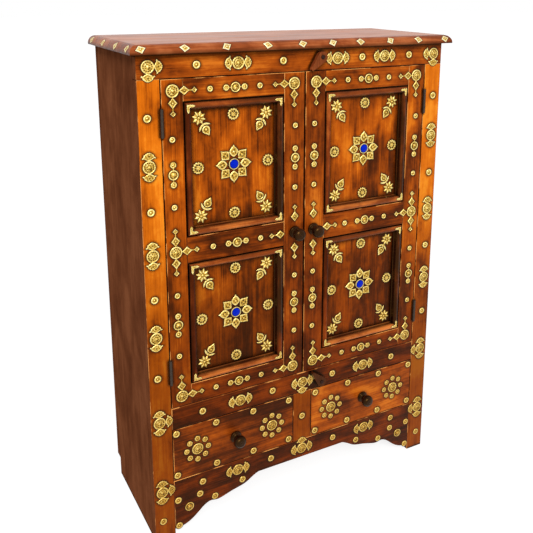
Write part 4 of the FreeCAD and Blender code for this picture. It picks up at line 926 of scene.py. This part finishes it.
# Sizes in millimetres that tell the stampings apart: round ones below each size, then the width of a long
# one, the length of an arm beside a knob, and how far a disc's arms and wings reach at least; on a panel,
# the least size of the flower and the most of a collar and of a rosette
ROUND_STAMPS = ((14.0, "small_stud"), (16.0, "bead"), (18.0, "stud"), (24.0, "dome"))
NARROW, SHORT_ARM, ARM_REACH, WING_REACH = 23.5, 50.0, 45.0, 25.0
FLOWER, COLLAR, ROSETTE = 70.0, 27.0, 30.0

# How far a bead lies from its dome, and an arm beside a knob from an arm's usual place
BEAD_PLACE, KNOB_SHIFT = 22.5, 13.5


def frame_stamp(batch, solid, y, knob):
    """Puts the stamping that a solid stands for in the solid's place."""
    x, _, z = solid.crown
    width, _, tall = solid.size
    size = max(width, tall)
    for limit, name in ROUND_STAMPS:
        if size < limit:
            stamp(batch, name, x, z, y)
            return
    if min(width, tall) < NARROW and size < SHORT_ARM:
        if tall > width:
            angle = 0.0 if solid.middle[2] > knob[2] else 180.0
        else:
            angle = 90.0 if solid.middle[0] < knob[0] else 270.0
        arm_stamps(batch, knob[0], knob[2], y, angle, KNOB_SHIFT, rooted=False)
    elif min(width, tall) < NARROW:
        angle = 0.0 if tall > width else 90.0
        link(batch, x, z, y, angle, -BEAD_PLACE, BEAD_PLACE)
        stamp(batch, "dome", x, z, y, angle)
        for place in (-BEAD_PLACE, BEAD_PLACE):
            stamp(batch, "bead", x, z, y, angle, along=place)
    else:
        stamp(batch, "disc", x, z, y)
        more, less = (solid.high - solid.crown) / MM, (solid.crown - solid.low) / MM
        for reach, angle in ((more[2], 0.0), (less[0], 90.0), (less[2], 180.0), (more[0], 270.0)):
            if reach > ARM_REACH:
                arm_stamps(batch, x, z, y, angle)
            elif reach > WING_REACH:
                stamp(batch, "wing", x, z, y, angle)


def panel_stamp(batch, solid, y):
    """The flower, a collar, a rosette or a star sprig in the place of a panel's solid."""
    width, _, tall = solid.size
    x, _, z = solid.middle
    if min(width, tall) > FLOWER:
        for count in range(8):
            stamp(batch, "petal" if count % 2 == 0 else "corner_petal", x, z, y, 45.0 * count)
    elif max(width, tall) < COLLAR:
        stamp(batch, "collar", x, z, y)
    elif max(width, tall) < ROSETTE and abs(width - tall) < 1:
        stamp(batch, "rosette", x, z, y, 22.5)
    else:
        star_x, _, star_z = solid.crown
        aim = math.degrees(math.atan2(star_x - x, z - star_z))
        for name in ("star", "leaf_left", "leaf_right", "bud"):
            stamp(batch, name, star_x, star_z, y, aim)
        link(batch, star_x, star_z, y, aim, 13.0, 25.5)


# The apron's shaped edge lies below this height, the brackets this far in front of the panel, and a panel's
# wax keeps this far inside the brackets' outer corners, in millimetres
APRON_CROWN = 100.0
BRACKET_STEP, PANEL_MARGIN = 5.0, 14.0
BRACKET_ANGLES = {(False, False): 0.0, (True, False): 90.0, (True, True): 180.0, (False, True): 270.0}


def frame_brass(node, finishes, knob=None):
    """The stampings on some boards, with the wax round them."""
    solids, face_y = islands(node)
    batch = Batch()
    for solid in solids:
        frame_stamp(batch, solid, face_y, knob)
    put(batch.finish(node + "_stamped", [BRASS, GRIME]), node)
    kept = [item for item in batch.placed if item[2] > APRON_CROWN * MM]
    boards = []
    for board, finish in finishes.items():
        low, high = np.array(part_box(board)) / MM
        boards.append((low[[0, 2]], high[[0, 2]], finish))
    wax_films(node, kept, face_y, boards)


def panel_brass(side):
    """The stampings on a door's two panels and on their mouldings' corners, with the wax round them."""
    node = f"door_{side}_panel_mounts"
    solids, face_y = islands(node)
    batch, boards, brackets = Batch(), [], []
    for solid in solids:
        if face_y - solid.high[1] > BRACKET_STEP * MM:
            brackets.append(solid)
        else:
            panel_stamp(batch, solid, face_y)
    centre_x = np.mean([solid.middle[0] for solid in solids])
    bottom, top = outer_corners(brackets)
    split = (bottom[2] + top[2]) / 2
    for upper in (False, True):
        group = [solid for solid in brackets if (solid.middle[2] > split) == upper]
        low, high = outer_corners(group)
        boards.append((low[[0, 2]] / MM + PANEL_MARGIN, high[[0, 2]] / MM - PANEL_MARGIN, f"panel_{side}"))
        for solid in group:
            right, above = solid.middle[0] > centre_x, solid.middle[2] > (low[2] + high[2]) / 2
            x, z = (solid.high if right else solid.low)[0], (solid.high if above else solid.low)[2]
            batch.add(PLATES["bracket"], x, z, solid.high[1], BRACKET_ANGLES[(right, above)])
    put(batch.finish(node + "_stamped", [BRASS, GRIME]), node)
    wax_films(node, batch.placed, face_y, boards)


frame_brass("frame_mounts", BOARD_FINISH)
for side in SIDES:
    boards = {f"door_{side}_{part}": finish for part, finish in DOOR_FINISH.items()}
    frame_brass(f"door_{side}_frame_mounts", boards, np.mean(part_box(f"door_{side}_knob"), axis=0))
for side in SIDES:
    frame_brass(f"drawer_{side}_mounts", {f"drawer_{side}_front": f"drawer_{side}"})
for side in SIDES:
    panel_brass(side)


# Diamonds bent over the top's nosing


# The nosing's radius and how far out the stampings' round lies, how far up they lean and each one's turn
NOSING_RADIUS, NOSING_LIFT = 18.5, 1.2
LEAN = math.radians(32)
ASKEW = (14.0, -9.0, 22.0, -16.0, 8.0)


def bent(points, askew):
    """A plate's points bent over the nosing: along it, and out and up from the middle of its round."""
    u = points[:, 0] * math.cos(askew) - points[:, 1] * math.sin(askew)
    v = points[:, 0] * math.sin(askew) + points[:, 1] * math.cos(askew)
    bend = np.maximum(LEAN + v / NOSING_RADIUS, 0)
    reach = NOSING_RADIUS + np.minimum(points[:, 2], 1.9) * 0.62
    below = np.minimum(v + LEAN * NOSING_RADIUS, 0)
    return u * MM, reach * np.cos(bend) * MM, (reach * np.sin(bend) + below) * MM


def nosing():
    """Square stampings wrapped on the quarter-round, some a little askew."""
    batch = Batch()
    solids, _ = islands("nosing_diamonds")
    corner, _ = outer_corners(solids)
    centre_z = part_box("top_board")[1][2] - NOSING_RADIUS * MM
    inset = (NOSING_RADIUS + NOSING_LIFT) * MM
    # The lift makes these diamonds paler still, as more painted highlight
    flat = diamond_plate(10.7, 2.9, 0.89, 0.2)
    skirt = flat_shadow(flat, 1.4)
    for number, solid in enumerate(solids):
        x, y, _ = solid.middle
        side = -1 if x < 0 else 1
        for (points, faces, relief), mark in ((flat, 0), (skirt, 1)):
            along, out, up = bent(points, math.radians(ASKEW[number % len(ASKEW)]))
            if solid.size[0] > solid.size[1]:
                world = (x + along, corner[1] + inset - out, centre_z + up)
            else:
                world = (side * (-corner[0] - inset + out), y + side * along, centre_z + up)
            batch.take(np.column_stack(world), faces, relief, mark)
    put(batch.finish("nosing_diamonds_stamped", [LIT_BRASS, GRIME]), "nosing_diamonds")


nosing()


# Stones


def stones(side):
    """A polished dome in each flower's collar; it lies on the collar's floor."""
    def shape(x, y, rho):
        # The second value is painted shade: the stone darkens towards its rim
        return 1.3 + 3.7 * np.sqrt(np.clip(1 - (rho * 0.995) ** 2, 0, 1)), np.clip((1 - rho) / 0.3, 0, 1)

    bead = plate(lobed(11.4, 64), shape, 16)
    node = f"door_{side}_cabochons"
    batch = Batch()
    for solid in islands(node)[0]:
        batch.add(bead, solid.middle[0], solid.middle[2], solid.high[1] + 1.2 * MM)
    put(batch.finish(node + "_polished", [STONE]), node)


for side in SIDES:
    stones(side)


# Boards


# The middle rail's arris is wider, for a longer band of painted highlight
ARRIS, WIDE_ARRIS, SIDE_ARRIS = 1.1 * MM, 1.8 * MM, 0.8 * MM


for board, finish in BOARD_FINISH.items():
    softened(board, WIDE_ARRIS if board == "face_rail_middle" else ARRIS, WOODS[finish])
for side in SIDES:
    softened(f"side_panel_{side}", SIDE_ARRIS, WOODS["side"], edged=False)
for side in SIDES:
    for part, finish in DOOR_FINISH.items():
        softened(f"door_{side}_{part}", ARRIS, WOODS[finish])
    softened(f"drawer_{side}_front", ARRIS, WOODS[f"drawer_{side}"])
    dress(WOODS[f"panel_{side}"], f"door_{side}_panels")
    dress(WOODS["inside"], f"drawer_{side}_walls", f"drawer_{side}_bottom")
    dress(STEEL, f"door_{side}_hinge_leaves", f"door_{side}_hinge_screws")
dress(STEEL, "hinge_leaves_fixed", "hinge_pins")
dress(GRIME, "frame_screws")
dress(WOODS["inside"], "cupboard_floor", "cupboard_shelf", "shelf_cleats", "door_stops", "drawer_partition",
      "drawer_runners")
dress(WOODS["inside_upright"], "back_boards")


# Top board


def sharpen_mitres(data, flat=None):
    """Sharp edges along the mitres of rings of four, and round the flat face whose corners start at flat."""
    for edge in data.edges:
        first, second = edge.vertices
        if first % 4 == second % 4 or (flat is not None and min(first, second) >= flat):
            edge.use_edge_sharp = True


def top_board():
    """The top with its quarter-round nosing on three sides, mitred at the corners."""
    low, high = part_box("top_board")
    radius, steps = NOSING_RADIUS * MM, 14
    rings = [(0.0, low[2])]
    for angle in np.linspace(0, math.pi / 2, steps + 1):
        rings.append((radius * (1 - math.cos(angle)), high[2] - radius + radius * math.sin(angle)))
    verts, wax_and_shade = [], []
    for number, (inset, z) in enumerate(rings):
        # Painted shade along the board's lower edge and under the nosing's round, fading out up the round
        wax_and_shade += [max(0.85 - 0.2 * number, 0.0)] * 4
        verts += [(low[0] + inset, high[1], z), (low[0] + inset, low[1] + inset, z),
                  (high[0] - inset, low[1] + inset, z), (high[0] - inset, high[1], z)]
    last = len(verts) - 4
    faces = [(3, 2, 1, 0)]
    for start in range(0, last, 4):
        faces += band(start + 4, start, 4)
    faces.append((last, last + 1, last + 2, last + 3))
    marks = [0] + [1] * last + [0]
    thing = make_object("top_board_nosed", verts, faces, [WOODS["top"], WOODS["nosing"]], 30, wax_and_shade, marks)
    sharpen_mitres(thing.data, last)
    put(thing, "top_board")


top_board()


# Mouldings


# How far out of the panel the moulding's round stands and how far in from the frame its top lies
CREST_OUT, CREST_IN = 17.0, 10.08


def round_points(radius, first, last, steps, dark):
    """Points on the moulding's round between two angles, each with how dark the painted shade lies there."""
    turns = [(step, math.radians(first + (last - first) * step / steps)) for step in range(steps + 1)]
    return [(CREST_IN + radius * math.cos(turn), CREST_OUT - radius + radius * math.sin(turn), dark(step))
            for step, turn in turns]


def moulding_profile():
    """In from the frame's edge and out from the panel, in millimetres, and how dark its painted shade lies
    there.
    """
    # The painted shade is darkest in the groove by the frame and deep on the flanks, and lightest on the
    # crest
    points = [(0.0, 0.0, 1.0), (0.0, 9.4, 1.0), (0.3, 9.6, 0.3), (1.7, 9.6, 0.4), (2.1, 9.4, 1.0),
              (2.1, 12.2, 0.8)]
    points += round_points(9.07, 140, 90, 8, lambda step: 0.4 - 0.05 * step)
    points += round_points(8.08, 90, 9, 9, lambda step: (step / 9) ** 1.3)[1:]
    return points + [(18.7, 6.0, 1.0), (19.4, 4.4, 0.8), (20.6, 3.4, 0.6), (21.0, 2.6, 0.9), (21.0, 0.0, 1.0)]


def mouldings(side):
    """The mouldings of a door's two panels, each a mitred ring of four."""
    node = f"door_{side}_mouldings"
    solids, face_y = islands(node)
    split = np.mean([solid.middle[2] for solid in solids])
    profile = moulding_profile()
    verts, faces, wax_and_shade = [], [], []
    for upper in (False, True):
        low, high = outer_corners([solid for solid in solids if (solid.middle[2] > split) == upper])
        base = len(verts)
        for inset, out, dark in profile:
            wax_and_shade += [dark] * 4
            d, y = inset * MM, face_y - out * MM
            verts += [(low[0] + d, y, low[2] + d), (high[0] - d, y, low[2] + d),
                      (high[0] - d, y, high[2] - d), (low[0] + d, y, high[2] - d)]
        for step in range(len(profile)):
            faces += band(base + 4 * ((step + 1) % len(profile)), base + 4 * step, 4)
    # Each run takes its own copy of the moulding wood, with its own painted highlight or shade
    marks = [0, 1, 2, 3] * (len(faces) // 4)
    materials = [WOODS[f"moulding_{run}"] for run in ("bottom", "right", "top", "left")]
    thing = make_object(node + "_run", verts, faces, materials, 38, wax_and_shade, marks, outward=True)
    sharpen_mitres(thing.data)
    put(thing, node)


for side in SIDES:
    mouldings(side)


# Knobs, each turned about an axis that faces the front

KNOB_TENON = 12.0 * MM
KNOB_SIDES = 48

# Radius as a share of the head's, and reach out from the wood as a share of the whole reach
KNOB_OUTLINE = [(0.0, -0.3), (0.31, -0.3), (0.31, 0.0), (0.84, 0.0), (0.86, 0.03), (0.84, 0.065),
                (0.78, 0.085), (0.7, 0.095), (0.69, 0.115), (0.62, 0.15), (0.52, 0.2), (0.47, 0.26),
                (0.46, 0.31), (0.5, 0.36), (0.6, 0.4), (0.7, 0.425), (0.72, 0.435), (0.73, 0.455),
                (0.82, 0.48), (0.92, 0.54), (0.98, 0.62), (1.0, 0.7), (0.97, 0.78), (0.9, 0.85),
                (0.87, 0.868), (0.86, 0.862), (0.84, 0.882), (0.72, 0.935), (0.52, 0.975), (0.3, 0.993),
                (0.26, 0.985), (0.23, 0.994), (0.1, 1.0), (0.0, 1.0)]


def knob(node):
    """A knob turned from its outline, its tenon in the wood."""
    low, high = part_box(node)
    radius, face_y = (high[2] - low[2]) / 2, high[1] - KNOB_TENON
    middle_x, middle_z = (low[0] + high[0]) / 2, (low[2] + high[2]) / 2
    verts, faces, starts = [], [], []
    for share, out in KNOB_OUTLINE:
        y = face_y - out * (face_y - low[1]) if out >= 0 else high[1]
        starts.append(len(verts))
        for k in range(KNOB_SIDES if share > 0 else 1):
            turn = 2 * math.pi * k / KNOB_SIDES
            verts.append((middle_x + share * radius * math.cos(turn), y,
                          middle_z + share * radius * math.sin(turn)))
    for here, there, after in zip(starts, starts[1:], starts[2:] + [len(verts)]):
        if there == here + 1:
            faces += fan(here, there, KNOB_SIDES)
        elif after == there + 1:
            faces += fan(there, here, KNOB_SIDES, back=True)
        else:
            faces += band(here, there, KNOB_SIDES)
    put(make_object(node + "_turned", verts, faces, [WOODS["knob"]], 50, outward=True), node)


for side in SIDES:
    knob(f"door_{side}_knob")
    knob(f"drawer_{side}_knob")


# Turn-buttons


def face_loops(edges):
    """The closed runs that edges form."""
    left, runs = set(edges), []
    while left:
        run, front = [], [left.pop()]
        while front:
            edge = front.pop()
            run.append(edge)
            for other in [item for item in left if set(item.verts) & set(edge.verts)]:
                left.discard(other)
                front.append(other)
        runs.append(run)
    return runs


def turn_button(node):
    """The CAD's turn-button with its front edge rounded over."""
    mesh = node_mesh(node, 1.0)
    front = max(mesh.faces, key=lambda face: face.calc_area() * (face.normal.y < -0.9))
    outer = max(face_loops(front.edges), key=lambda run: sum(edge.calc_length() for edge in run))
    put(eased_object(mesh, outer, 3.2 * MM, 4, True, node, "_rounded", [WOODS["button"]]), node)


turn_button("turn_button_top")
turn_button("turn_button_lower")


# Floor, light and camera


def seen(net):
    """1 where the camera, a gloss or a glass looks, else 0."""
    path = net.add("ShaderNodeLightPath").outputs
    either = net.math("MAXIMUM", path["Is Camera Ray"], path["Is Glossy Ray"])
    return net.math("MAXIMUM", either, path["Is Transmission Ray"])


def stage():
    """The floor: white to the camera, gloss and glass but for its shadow, pale grey to the light."""
    bpy.ops.mesh.primitive_plane_add(size=60.0, location=(0, 0, 0))
    floor = bpy.context.object
    floor.name = "floor"
    net = Net("pale_floor")
    net.tree.nodes.remove(net.shader)
    shaded, plain = [net.add("ShaderNodeBsdfDiffuse", {"Color": (level, level, level)}).outputs[0]
                     for level in (0.36, 0.7)]
    glow = net.add("ShaderNodeEmission", {"Strength": 0.8}).outputs[0]
    pale = net.add("ShaderNodeAddShader", {0: shaded, 1: glow}).outputs[0]
    both = net.add("ShaderNodeMixShader", {0: seen(net), 1: plain, 2: pale}).outputs[0]
    net.feed(net.tree.nodes["Material Output"].inputs[0], both)
    floor.data.materials.append(net.owner)


def world():
    """White to the camera, gloss and glass, and a dim even light on the object."""
    net = Net("studio", bpy.data.worlds)
    dim, full = net.tree.nodes["Background"], net.add("ShaderNodeBackground")
    for node, strength in ((dim, 0.3), (full, 1.0)):
        net.feed(node.inputs["Color"], (1.0, 1.0, 1.0))
        net.feed(node.inputs["Strength"], strength)
    both = net.add("ShaderNodeMixShader", {0: seen(net), 1: dim.outputs[0], 2: full.outputs[0]}).outputs[0]
    net.feed(net.tree.nodes["World Output"].inputs[0], both)
    bpy.context.scene.world = net.owner


def light(name, kind, place, target, power, **settings):
    data = bpy.data.lights.new(name, kind)
    data.energy = power
    for key, value in settings.items():
        setattr(data, key, value)
    thing = add_object(name, data)
    thing.location = place
    thing.rotation_euler = (Vector(target) - Vector(place)).to_track_quat("-Z", "Y").to_euler()


def camera():
    """A pinhole camera fitted to the photograph: focal length and centre in pixels, angles in radians."""
    focal, centre_x, centre_y, image = 727.67, 295.67, 160.87, 533.0
    yaw, pitch, roll = 0.51302, 0.2354, 0.00758
    place = Vector((-0.85619, -1.61775, 1.31846))
    forward = Vector((math.sin(yaw) * math.cos(pitch), math.cos(yaw) * math.cos(pitch), -math.sin(pitch)))
    right = Vector((math.cos(yaw), -math.sin(yaw), 0.0))
    up = right.cross(forward)
    right, up = (right * math.cos(roll) + up * math.sin(roll), up * math.cos(roll) - right * math.sin(roll))
    data = bpy.data.cameras.new("camera")
    data.sensor_width = 36.0
    data.lens = focal / image * data.sensor_width
    data.shift_x = (image / 2 - centre_x) / image
    data.shift_y = (centre_y - image / 2) / image
    data.clip_end = 50.0
    thing = add_object("camera", data)
    turn = Matrix((right, up, -forward)).transposed()
    thing.matrix_world = Matrix.Translation(place) @ turn.to_4x4()
    bpy.context.scene.camera = thing


stage()
light("key", "SUN", (-0.28, -0.8, 0.55), (0, 0, 0), 2.3, angle=math.radians(24))
light("high", "AREA", (-0.9, -1.5, 2.0), (-0.2, -0.14, 0.95), 11.0, shape="RECTANGLE", size=0.7, size_y=0.7)
world()
camera()

bpy.context.scene.view_settings.view_transform = "Standard"
